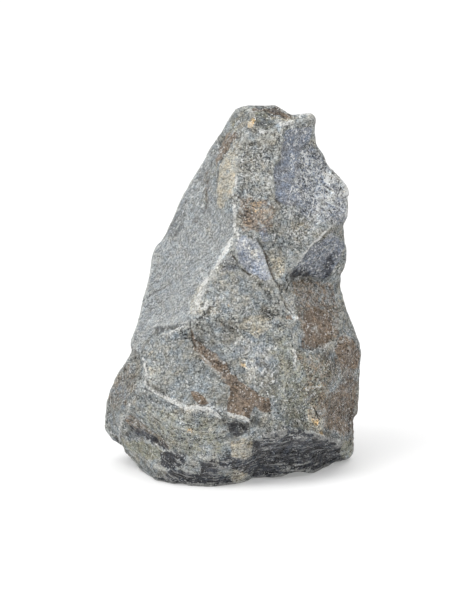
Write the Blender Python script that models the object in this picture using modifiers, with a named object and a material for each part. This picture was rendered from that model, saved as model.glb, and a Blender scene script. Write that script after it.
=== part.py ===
"""One standing aquascape stone: a tall block of grey metamorphic rock, broken to shape.

The broad face is drawn as a net of ridges, each a short run of points where two broken faces meet.
A second net closes the back. Both share one outline, and the two together make a closed block,
which is then given its lumps and chips, thinned, and cut flat where it stands.
"""

import math

import bmesh
import bpy
from mathutils import Euler, Matrix, Vector, noise
from mathutils.geometry import delaunay_2d_cdt

MM = 0.001

# All lengths below are in millimetres. The front is drawn as it looks from slightly above: a point
# there is (across, up, back), where back is its level depth behind the middle of the stone. The
# ground under the middle shows GROUND_UP above the drawing's lowest line.
VIEW_RISE = math.radians(15)
GROUND_UP = 12.1

# The mesh that is weathered has even faces EVEN_MESH wide. Its rims are worn down in WORN_PASSES,
# and the whole grows by WORN_LOSS to stay as wide as it is drawn.
EVEN_MESH = 1.2
WORN_PASSES = 3
WORN_LOSS = 0.45
TRIANGLES = 9300

# Weathering: how far each form stands proud, and about how far apart its like are.
LUMP_RISE, LUMP_SIZE = 0.7, 17.0
CHIP_RISE, CHIP_SIZE = 0.95, 11.0
FLAKE_RISE, FLAKE_SIZE = 0.4, 4.6
BREAK_RISE, BREAK_SIZE = 1.6, 27.0
BED_RISE, BED_HEIGHT = 2.0, 5.5
BED_WANDER, BED_WANDER_SIZE, BED_PATCH_SIZE = 3.0, 18.0, 9.0

# The ways that the rock breaks. Its lowest layers lie nearly level and tip down to the right.
BED_UP = Vector((0.13, -0.06, 1.0)).normalized()
CLEAVAGE = Euler((0.5, 0.35, 0.8)).to_matrix()
CROSS_CLEAVAGE = Euler((1.1, -0.4, 0.3)).to_matrix()

# The smooth slab lies left of the spine, which leans this much, and above the drawn shelf. Each
# pair is where a region of the weathering starts and where it is whole.
SPINE_LEAN = 0.37
SLAB_INSET = (0.0, 10.0)
SLAB_FOOT_UP = (62.0, 80.0)
SLAB_BACK = (22.0, 14.0)
BEDS_TOP = (38.0, 22.0)
BACK_START = (12.0, 28.0)
SLAB_SMOOTHNESS = 0.75
BEDS_ROUGHNESS = 0.4
BACK_ROUGHNESS = 0.3

STONE_GREY = (0.27, 0.28, 0.28, 1.0)
STONE_ROUGHNESS = 0.85

LEFT_EDGE = [
    (-60.5, 22.5, 0), (-63, 28, 0), (-64, 36, -2), (-62.5, 43.5, -4), (-60, 50, -6),
    (-56.5, 57, -8), (-54, 61, -10), (-49.5, 66, -13), (-49.5, 72.5, -12), (-47, 80.5, -9),
    (-45, 89.5, -4), (-42, 101, 1), (-40, 112, 6), (-38, 119, 9), (-34.5, 122, 9),
    (-30.5, 131, 11), (-26, 142, 15), (-20, 153, 17), (-13.5, 163.5, 19), (-8, 172, 20),
    (-3, 181.5, 20), (2, 188.5, 17),
]
CROWN_EDGE = [
    (7.5, 190, 14), (14, 189.5, 14), (20.5, 189.5, 15), (24.5, 187.5, 15), (29, 185, 12),
    (33.5, 185.5, 10), (38.5, 186, 10),
]
RIGHT_EDGE = [
    (41.5, 184, 10), (41.5, 178.5, 11), (42, 170.5, 12), (45.5, 164.5, 12), (49.5, 158, 12),
    (53, 154, 11), (57, 150.5, 8), (59.5, 145.5, 5), (58.5, 138, 5), (56.5, 131.5, 7),
    (56, 125, 9), (57, 119.5, 10), (56.5, 109, 12), (54, 101.5, 14), (56.5, 92, 13),
    (60, 80.5, 11), (64, 70.5, 8), (64, 66, 8), (63, 58, 8), (62.5, 47.5, 8), (62, 41, 8),
    (60.5, 32, 8), (61, 24, 7), (61, 16.5, 5), (57, 13.5, 1),
]
FOOT_EDGE = [
    (50.5, 12, -6), (43, 9, -16), (33.5, 9, -22), (25.5, 8, -26), (12.5, 5, -33), (3.5, 0.5, -39),
    (-5.5, -0.8, -43), (-15, -1.4, -45), (-21.5, -0.8, -43), (-29, 2.2, -34), (-37, 4, -26),
    (-44.5, 7.5, -14), (-50.5, 14.5, -8), (-54, 18.5, -5), (-57, 21, -2),
]
OUTLINE = LEFT_EDGE + CROWN_EDGE + RIGHT_EDGE + FOOT_EDGE

# Corners where three or more ridges of the front meet.
BROW = (7.5, 177, 1)
SPINE_FOOT = (2, 125.5, -17)
STAR = (-20.7, 83, -30)
PLATE_TOP = (25.5, 178, 1)
PLATE_FOOT = (17, 127, -16)
LEDGE_CORNER = (29, 107.5, -18)
CHIP_CORNER = (32, 84.5, -21)
SHELF_LEFT = (-42.5, 53, -30)
SHELF_RIGHT = (-3, 37, -47)
NOTCH_RIGHT = (9, 33, -46)
UNDERCUT_LEFT = (10, 24.5, -46)
UNDERCUT_RIGHT = (55, 20, -17)
RUST_HEAD = (-20, 74, -31)
CREASE_END = (-30, 20, -41)

FRONT_RIDGES = {
    "spine": [
        BROW, (4, 169, -3), (2, 163, -5), (2.5, 154, -8), (1.5, 145.5, -11), (2, 135.5, -14), SPINE_FOOT,
        (-2, 115.5, -20), (-7, 107.5, -22), (-13.5, 98, -25), (-18, 89.5, -28), STAR,
    ],
    "pale bulge": [BROW, (-3, 160.5, 0), (-6, 149, -3), (-4.5, 137.5, -8), SPINE_FOOT],
    "valley": [
        (2, 188.5, 17), (0, 178, 13), (-5, 170, 13), (-11, 161.5, 13), (-13.5, 148, 8), (-12, 135, 0),
        (-9, 121, -10),
    ],
    "crown scoop": [BROW, (10, 182, 5), (15, 185.5, 9), (20, 183, 8), (23, 181.5, 4), PLATE_TOP],
    "scoop lip": [BROW, (12, 177.5, 2), (17.5, 176, 0), (23, 178, 2), PLATE_TOP],
    "tip": [PLATE_TOP, (27, 181, 4), (32, 181.5, 3), (40, 183, 5), (41.5, 178.5, 11)],
    "plate edge": [PLATE_TOP, (22.5, 168, -3), (21, 158, -6.5), (21, 140.5, -12.5), PLATE_FOOT],
    "rust foot": [SPINE_FOOT, (9, 125.5, -17.5), PLATE_FOOT],
    "ledge": [
        (56.5, 131.5, 7), (52, 131, 0), (49, 126, -3), (44, 122, -6), (37, 116, -12), LEDGE_CORNER,
    ],
    "recess": [
        (30, 105, -8), (37.5, 104.5, 2), (42.5, 105, 6), (45.5, 103, 7), (50.5, 107, 8),
        (54, 101.5, 14),
    ],
    "fissure": [(45.5, 103, 7), (48, 110, 6), (50.5, 114, 4)],
    "recess side": [LEDGE_CORNER, (29, 98, -16), CHIP_CORNER],
    "recess wall": [(30, 105, -8), (31, 97, -12), CHIP_CORNER],
    "right bulge": [(53.5, 124, 5), (54, 113, 7), (51.5, 106, 9)],
    "step": [
        PLATE_FOOT, (16, 118, -19), (18, 110.5, -21), (20, 106.5, -22), (22, 100, -24),
        (25.5, 90.5, -26), CHIP_CORNER,
    ],
    "middle": [CHIP_CORNER, (31, 74, -27), (31, 64, -31), (29, 45.5, -38), (28, 28, -42)],
    "brown foot": [CHIP_CORNER, (39, 67.5, -22), (48.5, 72, -14), (51, 75, -9), (59, 74, -1)],
    "right corner": [(59, 74, -1), (57, 60, -5), (56.5, 43, -9), (56, 30, -11), UNDERCUT_RIGHT],
    "low right": [(31, 64, -31), (45, 51, -27), (46.5, 43, -27), (43, 24, -37)],
    "shoulder": [STAR, (-12, 80, -31), (2, 79, -31), (19, 78, -31), (31, 74, -27)],
    "crease": [STAR, (-5.5, 72.5, -33), (7.5, 59.5, -38), (17, 50, -41)],
    "rust left": [STAR, RUST_HEAD, (-16, 67, -35), (-8.5, 58, -39), (-1.5, 50.5, -43), SHELF_RIGHT],
    "rust floor": [
        RUST_HEAD, (-13.5, 67, -33), (-6, 59, -36.5), (0.5, 50.5, -40.7), (0, 38, -45.5), (9.5, 37, -46),
        (19, 37.5, -45),
    ],
    "rust right": [(-13.5, 67, -33), (1.5, 59, -38), (11.5, 49, -42), (19, 37.5, -45)],
    "shelf": [
        STAR, (-32, 74.5, -27), (-44.5, 65, -21), SHELF_LEFT, (-30, 45, -40), (-22.5, 40.5, -45),
        (-11, 39, -47), SHELF_RIGHT,
    ],
    "slab foot": [(-32, 74.5, -27), (-38, 79, -16), (-47, 80.5, -9)],
    "left corner": [SHELF_LEFT, (-46, 50.5, -28), (-52, 42, -23), (-55, 34, -20), (-56.5, 25, -12)],
    "shelf under": [(-41, 50, -29.2), (-30, 42, -39.3), (-22, 37.5, -44.3), (-12, 36, -46)],
    "low crease": [(-55, 34, -20), (-46, 30.5, -25.5), (-38.5, 24, -32.5), CREASE_END],
    "low swell": [(-46, 38, -31), (-34, 33, -41), (-20, 27, -47.5), (-8.5, 18, -49.5), (4, 17, -48)],
    "foot swell": [(-56.5, 25, -12), (-48, 19, -20), (-41, 13, -27), CREASE_END, (-23.5, 10.5, -46)],
    "foot belt": [(-41, 13, -27), (-30, 9, -38), (-23.5, 10.5, -46), (-8, 8, -47), (5, 9, -44)],
    "notch lip": [SHELF_RIGHT, (2, 35, -47.5), NOTCH_RIGHT],
    "notch": [
        SHELF_RIGHT, (-2, 32.5, -42), (4, 31.5, -41), (8, 30, -42), NOTCH_RIGHT,
    ],
    "notch foot": [(-2, 32.5, -42), (-2, 26, -45), (4, 24, -46), (8, 26, -45), (8, 30, -42)],
    "undercut lip": [
        NOTCH_RIGHT, UNDERCUT_LEFT, (15, 23, -46), (21.5, 25.5, -45.5), (28, 28, -42), (34, 29, -40),
        (39, 26.5, -38), (43, 24, -37), (51.5, 23, -27), UNDERCUT_RIGHT,
    ],
    "undercut": [
        UNDERCUT_LEFT, (15.5, 17, -36), (29, 19.5, -29), (41.5, 17.5, -20), (51.5, 18, -10),
        UNDERCUT_RIGHT,
    ],
    "right toe": [UNDERCUT_RIGHT, (56, 17, -9), (57, 13.5, 1)],
    "slab": [(-23.5, 130.5, 4), (-28, 113, -1), (-32, 98, -5), (-36, 86, -10)],
}

# A back point is written as the stone stands: (across, back, height).
BACK_RIDGES = {
    "back rim": [(2, 25, 168), (14, 30, 170), (26, 28, 170), (36, 22, 169)],
    "back spine": [
        (14, 30, 170), (12, 38, 150), (3, 43, 126), (8, 47, 106), (-4, 49, 80), (-8, 46, 56),
        (2, 48, 30), (-2, 44, 10),
    ],
    "left flank": [
        (2, 25, 168), (-10, 29, 150), (-20, 27, 128), (-24, 33, 112), (-34, 31, 92), (-38, 35, 70),
        (-47, 30, 52), (-53, 22, 34), (-51, 24, 16),
    ],
    "left break": [(-24, 33, 112), (-14, 42, 98), (-4, 49, 80)],
    "right flank": [
        (36, 22, 169), (44, 24, 150), (51, 22, 136), (49, 28, 118), (45, 24, 101), (50, 27, 84),
        (58, 26, 64), (57, 30, 44), (55, 28, 24), (56, 18, 12),
    ],
    "step lip": [(8, 47, 106), (22, 43, 114), (35, 38, 121), (49, 28, 118)],
    "step": [(9, 42, 98), (20, 37, 102), (32, 31, 107), (45, 24, 101)],
    "low belt": [
        (-38, 35, 70), (-22, 44, 62), (-8, 46, 56), (14, 50, 60), (34, 44, 68), (58, 26, 64),
    ],
    "hollow rim": [
        (14, 50, 60), (20, 48, 44), (22, 47, 22), (40, 42, 22), (46, 40, 42), (34, 44, 68),
    ],
    "hollow": [(22, 47, 22), (30, 41, 38), (34, 44, 68)],
    "back foot": [
        (-51, 24, 16), (-37, 36, 12), (-20, 42, 12), (-2, 44, 10), (20, 44, 9), (40, 37, 9), (56, 18, 12),
    ],
    "toe": [(56, 18, 12), (56, 14, 3)],
    "seat": [
        (-41, -12, -2.5), (-33, -22, -2.5), (-20, -36, -2.5), (-6, -36, -2.5), (4, -30, -2.5),
        (12, -17, -2.5), (24, -5, -2.5), (34, 2, -2.5), (42, 12, -2.5), (38, 26, -2.5), (18, 37, -2.5),
        (-8, 39, -2.5), (-30, 32, -2.5), (-43, 12, -2.5), (-41, -12, -2.5),
    ],
}

# The flat breaks behind: which way each faces, and how deep it bites into the farthest point there.
BACK_BREAKS = [
    ((0.15, 1.0, 0.05), 4.0),
    ((-0.45, 0.85, 0.25), 5.0),
    ((0.4, 0.85, 0.3), 5.0),
    ((0.62, 0.78, 0.0), 5.0),
    ((0.82, 0.57, -0.05), 4.0),
    ((-0.8, 0.6, -0.1), 4.0),
    ((-0.45, 0.87, -0.15), 5.0),
    ((-0.1, 0.97, -0.2), 5.0),
    ((0.15, 0.75, -0.65), 6.0),
    ((-0.5, 0.6, -0.6), 5.0),
]


def from_front(across, up, back):
    """The place, as the stone stands, of a point drawn on the front."""
    height = (up - GROUND_UP - back * math.sin(VIEW_RISE)) / math.cos(VIEW_RISE)
    return Vector((across, back, height))


def as_drawn(place):
    """Where a place shows in the drawing: across and up."""
    up = place.z * math.cos(VIEW_RISE) + place.y * math.sin(VIEW_RISE) + GROUND_UP
    return Vector((place.x, up))


def draped_net(outline, ridges):
    """The triangles between an outline and the ridges inside it: the corner places, then the faces."""
    places, number = [], {}
    for place in outline + [place for ridge in ridges for place in ridge]:
        key = tuple(round(value, 3) for value in place)
        if key not in number:
            number[key] = len(places)
            places.append(place)

    def chain(run):
        indices = [number[tuple(round(value, 3) for value in place)] for place in run]
        return list(zip(indices, indices[1:]))

    edges = [edge for ridge in ridges for edge in chain(ridge)]
    loop = list(range(len(outline)))
    drawn = [as_drawn(place) for place in places]
    made, _, faces, origins, _, _ = delaunay_2d_cdt(drawn, edges, [loop], 1, 1e-5)
    for point, origin in zip(made, origins):
        if len(origin) != 1:
            raise ValueError(f"ridges cross or meet badly at across {point.x:.1f}, up {point.y:.1f}")
    return places, [[origins[corner][0] for corner in face] for face in faces]


def cut_off(shell, place, facing):
    """Cuts off what lies beyond a plane, and closes the cut with a flat face."""
    whole = shell.verts[:] + shell.edges[:] + shell.faces[:]
    cut = bmesh.ops.bisect_plane(shell, geom=whole, plane_co=place, plane_no=facing, clear_outer=True)
    rim = [piece for piece in cut["geom_cut"] if isinstance(piece, bmesh.types.BMEdge)]
    bmesh.ops.triangle_fill(shell, edges=rim, use_beauty=True, normal=facing)


def broken_block():
    """The closed block of both nets, in metres, before any weathering."""
    outline = [from_front(*point) for point in OUTLINE]
    front = [[from_front(*point) for point in ridge] for ridge in FRONT_RIDGES.values()]
    back = [[Vector(point) for point in ridge] for ridge in BACK_RIDGES.values()]
    shell = bmesh.new()
    for ridges in (front, back):
        places, faces = draped_net(outline, ridges)
        corners = [shell.verts.new(place * MM) for place in places]
        for face in faces:
            shell.faces.new([corners[corner] for corner in face])
    bmesh.ops.remove_doubles(shell, verts=shell.verts, dist=0.01 * MM)
    for facing, bite in BACK_BREAKS:
        facing = Vector(facing).normalized()
        reach = max(corner.co.dot(facing) for corner in shell.verts)
        cut_off(shell, facing * (reach - bite * MM), facing)
    bmesh.ops.recalc_face_normals(shell, faces=shell.faces)
    mesh = bpy.data.meshes.new("stone")
    shell.to_mesh(mesh)
    shell.free()
    return mesh


def faceted(place, size, turned):
    """Broken relief from -1 to 1: flat facets about one size across that meet in sharp creases."""
    grid = turned @ place / size
    corner = Vector([math.floor(value) for value in grid])
    inside = grid - corner
    order = sorted(range(3), key=lambda axis: inside[axis], reverse=True)
    shares = [1.0] + [inside[axis] for axis in order] + [0.0]
    total = 0.0
    for step in range(4):
        total += (shares[step] - shares[step + 1]) * noise.cell(corner)
        if step < 3:
            corner[order[step]] += 1
    return total


def ramp(value, ends):
    """How far a value has come from one end to the other, from 0 to 1, eased at both."""
    start, end = ends
    share = min(max((value - start) / (end - start), 0.0), 1.0)
    return share * share * (3 - 2 * share)


def terraces(place):
    """The worn edges of the lowest layers, as steps that come and go."""
    wander = BED_WANDER * noise.noise(place / BED_WANDER_SIZE)
    level = (place.dot(BED_UP) + wander) / BED_HEIGHT
    return BED_RISE * (level - math.floor(level) - 0.5) * noise.noise(place / BED_PATCH_SIZE)


def weathering(place):
    """How far the surface stands proud at a place, both in millimetres."""
    drawn = as_drawn(place)
    spine_across = SPINE_FOOT[0] + (drawn.y - SPINE_FOOT[1]) * SPINE_LEAN
    on_slab = ramp(spine_across - drawn.x, SLAB_INSET) * ramp(drawn.y, SLAB_FOOT_UP)
    on_slab *= ramp(place.y, SLAB_BACK)
    in_beds = ramp(place.z, BEDS_TOP)
    behind = ramp(place.y, BACK_START)
    lumps = LUMP_RISE * noise.fractal(place / LUMP_SIZE, 0.7, 2.0, 3)
    chips = CHIP_RISE * faceted(place, CHIP_SIZE, CLEAVAGE)
    flakes = FLAKE_RISE * faceted(place, FLAKE_SIZE, CROSS_CLEAVAGE)
    breaks = BREAK_RISE * faceted(place, BREAK_SIZE, CROSS_CLEAVAGE)
    roughness = 1 - SLAB_SMOOTHNESS * on_slab + BEDS_ROUGHNESS * in_beds + BACK_ROUGHNESS * behind
    return roughness * (lumps + chips + flakes) + in_beds * terraces(place) + behind * breaks


def apply_modifiers(stone):
    """Makes the object's evaluated shape its own mesh."""
    graph = bpy.context.evaluated_depsgraph_get()
    graph.update()
    shaped = bpy.data.meshes.new_from_object(stone.evaluated_get(graph))
    stone.modifiers.clear()
    stone.data = shaped


def weather(stone):
    """Meshes the block finely, wears its rims, and gives it its lumps, chips, flakes and beds."""
    remesh = stone.modifiers.new("even mesh", "REMESH")
    remesh.mode = "VOXEL"
    remesh.voxel_size = EVEN_MESH * MM
    worn = stone.modifiers.new("worn rims", "SMOOTH")
    worn.factor = 0.5
    worn.iterations = WORN_PASSES
    apply_modifiers(stone)
    outward = [vertex.normal.copy() for vertex in stone.data.vertices]
    for vertex, normal in zip(stone.data.vertices, outward):
        vertex.co += normal * (weathering(vertex.co / MM) + WORN_LOSS) * MM
    stone.data.update()


def thin(stone, triangles):
    """Leaves about this many triangles, fewest where the surface is flat."""
    thinning = stone.modifiers.new("thinning", "DECIMATE")
    thinning.ratio = triangles / (2 * len(stone.data.polygons))
    thinning.use_collapse_triangulate = True
    apply_modifiers(stone)


def cut_flat(stone):
    """Cuts off what reaches below the ground, which leaves the flat that the stone stands on."""
    shell = bmesh.new()
    shell.from_mesh(stone.data)
    cut_off(shell, Vector((0, 0, 0)), Vector((0, 0, -1)))
    bmesh.ops.triangulate(shell, faces=shell.faces[:])
    bmesh.ops.recalc_face_normals(shell, faces=shell.faces[:])
    shell.to_mesh(stone.data)
    shell.free()


def centre_on_foot(stone):
    """Puts the origin under the middle of the stone's box, at the ground."""
    corners = [Vector(corner) for corner in stone.bound_box]
    low, high = corners[0], corners[6]
    middle = (low + high) / 2
    stone.data.transform(Matrix.Translation((-middle.x, -middle.y, -low.z)))


def stone_material():
    """Dry grey rock with no gloss."""
    material = bpy.data.materials.new("grey stone")
    material.use_nodes = True
    surface = material.node_tree.nodes["Principled BSDF"]
    surface.inputs["Base Color"].default_value = STONE_GREY
    surface.inputs["Roughness"].default_value = STONE_ROUGHNESS
    surface.inputs["Metallic"].default_value = 0.0
    return material


def main():
    for leftover in list(bpy.data.objects):
        bpy.data.objects.remove(leftover)
    parts = bpy.data.collections.new("yamaya stone")
    bpy.context.scene.collection.children.link(parts)
    stone = bpy.data.objects.new("stone", broken_block())
    parts.objects.link(stone)
    weather(stone)
    thin(stone, TRIANGLES)
    cut_flat(stone)
    centre_on_foot(stone)
    stone.data.materials.clear()
    stone.data.materials.append(stone_material())


main()
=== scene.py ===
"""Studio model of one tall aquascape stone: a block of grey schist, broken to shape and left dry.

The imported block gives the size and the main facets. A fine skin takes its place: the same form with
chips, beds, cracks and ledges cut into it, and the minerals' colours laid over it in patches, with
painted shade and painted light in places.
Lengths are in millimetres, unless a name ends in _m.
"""

import logging
import math
from dataclasses import dataclass, field
from enum import Enum
from typing import ClassVar

import bpy
import numpy as np
from mathutils import Euler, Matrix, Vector


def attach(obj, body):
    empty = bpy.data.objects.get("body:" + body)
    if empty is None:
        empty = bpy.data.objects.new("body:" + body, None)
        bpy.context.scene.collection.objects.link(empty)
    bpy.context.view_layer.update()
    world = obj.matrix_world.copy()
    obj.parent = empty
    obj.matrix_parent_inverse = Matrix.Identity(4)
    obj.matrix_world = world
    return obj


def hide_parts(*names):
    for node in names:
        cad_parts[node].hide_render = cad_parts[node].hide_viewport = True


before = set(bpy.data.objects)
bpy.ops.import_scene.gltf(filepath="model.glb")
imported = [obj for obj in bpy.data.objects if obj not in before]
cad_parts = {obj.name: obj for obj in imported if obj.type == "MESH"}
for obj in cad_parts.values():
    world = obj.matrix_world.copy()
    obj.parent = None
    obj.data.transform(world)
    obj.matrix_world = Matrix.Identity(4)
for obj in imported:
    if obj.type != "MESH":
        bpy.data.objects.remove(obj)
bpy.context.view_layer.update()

LOG = logging.getLogger("yamaya stone")
MM = 0.001
# Stroke maps: pale lines, dark ink with painted shadow under ledges, and painted light and shade by ledges.
STROKE_MAPS = ("line", "crack", "ledge")

Colour = tuple[float, float, float]
Pair = tuple[float, float]
Pairs = tuple[Pair, ...]
Triple = tuple[float, float, float]
Socket = bpy.types.NodeSocket
Value = Socket | float | tuple[float, ...]


class Layer(Enum):
    """What a drawn patch lays on the stone: a mineral's colour, a darker or lighter tone, or the way its
    surface is broken. In places the dark colour and the tones are painted shade and painted light.
    """

    RUST = "rust"
    OCHRE = "ochre"
    OLIVE = "olive"
    SLATE = "slate"
    PALE = "pale"
    DARK = "dark"
    GOLD = "gold"
    SHADE = "shade"
    LIGHT = "light"
    SPECK = "speck"
    SLAB = "slab"
    SMOOTH = "smooth"
    BEDS = "beds"


class Form(Enum):
    """How a drawn stroke shapes the surface: a groove, a small ledge, or a raised line."""

    CRACK = "crack"
    STEP = "step"
    RIDGE = "ridge"


def eased(value: np.ndarray, start: float, end: float) -> np.ndarray:
    """How far values have come from start to end, from 0 to 1, eased at both ends."""
    share = np.clip((value - start) / (end - start), 0.0, 1.0)
    return share * share * (3 - 2 * share)


def nearest_on_run(drawn: np.ndarray, run: np.ndarray) -> tuple[np.ndarray, np.ndarray, np.ndarray]:
    """Finds the nearest point of a run of straight pieces.

    Args:
        drawn: Drawn points, one row each.
        run: The run's points, in order.

    Returns:
        The nearest point of the run, the side (1 on the left of its direction, -1 on the right), and
        how far along the run that point lies.
    """
    best = np.full(len(drawn), np.inf)
    nearest, side, along = np.zeros_like(drawn), np.ones(len(drawn)), np.zeros(len(drawn))
    travelled = 0.0
    for start, end in zip(run, run[1:]):
        piece = end - start
        length = float(np.hypot(*piece))
        offset = drawn - start
        share = np.clip(offset @ piece / length**2, 0.0, 1.0)
        point = start + share[:, None] * piece
        distance = np.hypot(*(drawn - point).T)
        closer = distance < best
        best = np.where(closer, distance, best)
        nearest[closer] = point[closer]
        turn = piece[0] * offset[:, 1] - piece[1] * offset[:, 0]
        side[closer] = np.where(turn[closer] >= 0, 1.0, -1.0)
        along[closer] = travelled + share[closer] * length
        travelled += length
    return nearest, side, along


def inside_outline(drawn: np.ndarray, outline: np.ndarray) -> np.ndarray:
    """Whether each drawn point lies inside a closed outline, by how often a level ray crosses it."""
    inside = np.zeros(len(drawn), bool)
    for start, end in zip(outline, np.roll(outline, -1, axis=0)):
        spans = (start[1] > drawn[:, 1]) != (end[1] > drawn[:, 1])
        rise = end[1] - start[1] or 1e-9
        crossing = start[0] + (drawn[:, 1] - start[1]) / rise * (end[0] - start[0])
        inside ^= spans & (drawn[:, 0] < crossing)
    return inside


def near_points(drawn: np.ndarray, points: np.ndarray, margin: float) -> np.ndarray:
    """Whether each drawn point lies within a margin of the box around some points."""
    low, high = points.min(0) - margin, points.max(0) + margin
    return ((drawn > low) & (drawn < high)).all(axis=1)


@dataclass(frozen=True)
class Patch:
    """One drawn patch. Its outline's points are (across, up) in the drawing."""

    layer: Layer
    strength: float
    feather: float
    outline: Pairs

    def coverage(self, drawn: np.ndarray) -> np.ndarray:
        """How strongly the patch covers each drawn point, from 0 to its strength."""
        outline = np.array(self.outline)
        covered = np.zeros(len(drawn))
        near = near_points(drawn, outline, self.feather)
        if near.any():
            points = drawn[near]
            edge, _, _ = nearest_on_run(points, np.vstack([outline, outline[:1]]))
            depth = np.hypot(*(points - edge).T)
            depth = np.where(inside_outline(points, outline), depth, -depth)
            covered[near] = self.strength * eased(depth, -self.feather, self.feather)
        return covered


@dataclass(frozen=True)
class Stroke:
    """One drawn crack, ledge or ridge. A ledge is high on the left of its direction.

    The reach is how far a ledge's lift goes, or how far a ridge's pale colour goes.
    """

    form: Form
    height: float
    width: float
    reach: float
    pale: float
    dirt_and_shadow: float
    run: Pairs
    fade: ClassVar[Pair] = (-0.1, 3.0)
    sharpness: ClassVar[float] = 1.3
    lip_share: ClassVar[float] = 0.4

    def taper(self, along: np.ndarray) -> np.ndarray:
        """How fully the stroke shows along its run: it fades out at both ends."""
        length = float(np.hypot(*np.diff(np.array(self.run), axis=0).T).sum())
        start, end = self.fade
        return eased(np.minimum(along, length - along), start, min(end, length / 3))

    def margin(self) -> float:
        """How far from its run the stroke still counts."""
        return 3 * self.reach + 2

    def profile(self, offset: np.ndarray) -> np.ndarray:
        """How far the surface stands proud beside the stroke.

        Args:
            offset: Signed distance from the stroke, positive on its left.

        Returns:
            The height at each point.
        """
        far = np.abs(offset)
        if self.form is Form.STEP:
            side = 2 * eased(offset, -self.width / 2, self.width / 2) - 1
            return 0.5 * self.height * side * np.exp(-far / self.reach)
        rise = self.height * np.clip(1 - far / self.width, 0, 1) ** self.sharpness
        return -rise if self.form is Form.CRACK else rise

    def ink(self, offset: np.ndarray, width: float) -> dict[str, np.ndarray]:
        """The stroke's colour: a ledge's lip is worn pale, and under it lie dirt and painted shadow.

        Args:
            offset: Signed distance from the stroke, positive on its left.
            width: How far the colour reaches.

        Returns:
            The pale line and the dark ink (dirt, and under a ledge painted shadow), from 0 to 1, and the
            ground beside a ledge: paler on its high side (wear and painted light), darker on its low side
            (dirt and painted shade).
        """
        if self.form is Form.RIDGE:
            width = max(width, self.reach)
        lip = self.lip_share * width if self.form is Form.STEP else 0.0
        # Beside a ledge: worn and painted light on the high side, dirt and painted shade on the low side.
        beside = np.sign(offset) * np.exp(-np.abs(offset) / (2 * width)) if lip else np.zeros(len(offset))
        return {
            "line": self.pale * np.clip(2 - 2 * np.abs(offset - lip) / width, 0, 1),
            # Dark ink: dirt in a crack; under a ledge, dirt and painted shadow.
            "crack": self.dirt_and_shadow * np.clip(1 - np.abs(offset + lip) / width, 0, 1),
            "ledge": beside * min(1.0, self.height),
        }


def patches(layer: Layer, *rows: tuple[float, float, Pairs]) -> tuple[Patch, ...]:
    """The patches of one layer, each row its strength, how soft its edge is, and its outline."""
    return tuple(Patch(layer, *row) for row in rows)


def ridge(pale: float, *run: Pair, height: float = 0.17, width: float = 1.4, reach: float = 0) -> Stroke:
    """A raised pale line along a run of points."""
    return Stroke(Form.RIDGE, height, width, reach, pale, 0, run)


def crack(height: float, width: float, dirt_and_shadow: float, *run: Pair) -> Stroke:
    """A groove along a run of points."""
    return Stroke(Form.CRACK, height, width, 0, 0, dirt_and_shadow, run)


def ledge(height: float, width: float, reach: float, pale: float, dirt_and_shadow: float, *run: Pair) -> Stroke:
    """A small ledge along a run of points: its lift, its width, how far the lift goes, and its colours."""
    return Stroke(Form.STEP, height, width, reach, pale, dirt_and_shadow, run)


# The marks on the broad face. It is drawn as it looks from slightly above: (across, up).
RUSTY_BLOCK: Pairs = ((35.5, 87.5), (42, 90), (48, 86), (51, 80), (50.5, 74), (42, 69), (36, 70), (35, 78))
BULGE: Pairs = ((-8, 149.5), (-6.5, 160), (-3, 165), (2, 164.5), (2.5, 157), (2, 146.5), (-1.5, 142.5),
    (-5, 136.5), (-7.5, 140.5))
PLATE: Pairs = ((21, 159), (24.5, 164), (24.5, 168), (26.5, 177.5), (34, 179), (40, 179), (38.5, 172),
    (33, 165.5), (33.5, 158.5), (30, 152), (34.5, 145.5), (38, 140.5), (35.5, 139), (27, 140.5),
    (21.5, 142))
STAR_FACET: Pairs = ((1.5, 122.5), (4.5, 125.5), (12.5, 123), (15.5, 118), (18, 109), (20.5, 102.5),
    (15, 102.5), (9, 106), (3, 111.5))
LOW_FACET: Pairs = ((-41, 70.5), (-30, 75), (-21, 72.5), (-17.5, 65.5), (-13, 59.5), (-5, 53), (-2, 48),
    (-4, 39), (-16, 42), (-23.5, 44), (-33.5, 50), (-41, 54), (-42.5, 62))
SHOULDER_FACE: Pairs = ((29.5, 105.5), (34, 113), (40, 116), (49.5, 127), (56.5, 121.5), (54.5, 115),
    (51, 109), (47, 103.5), (39, 104.5))
WEDGE: Pairs = ((-2, 115), (0.5, 114.5), (3.5, 110), (0, 107), (-6.5, 106.5), (-5, 110))

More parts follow.
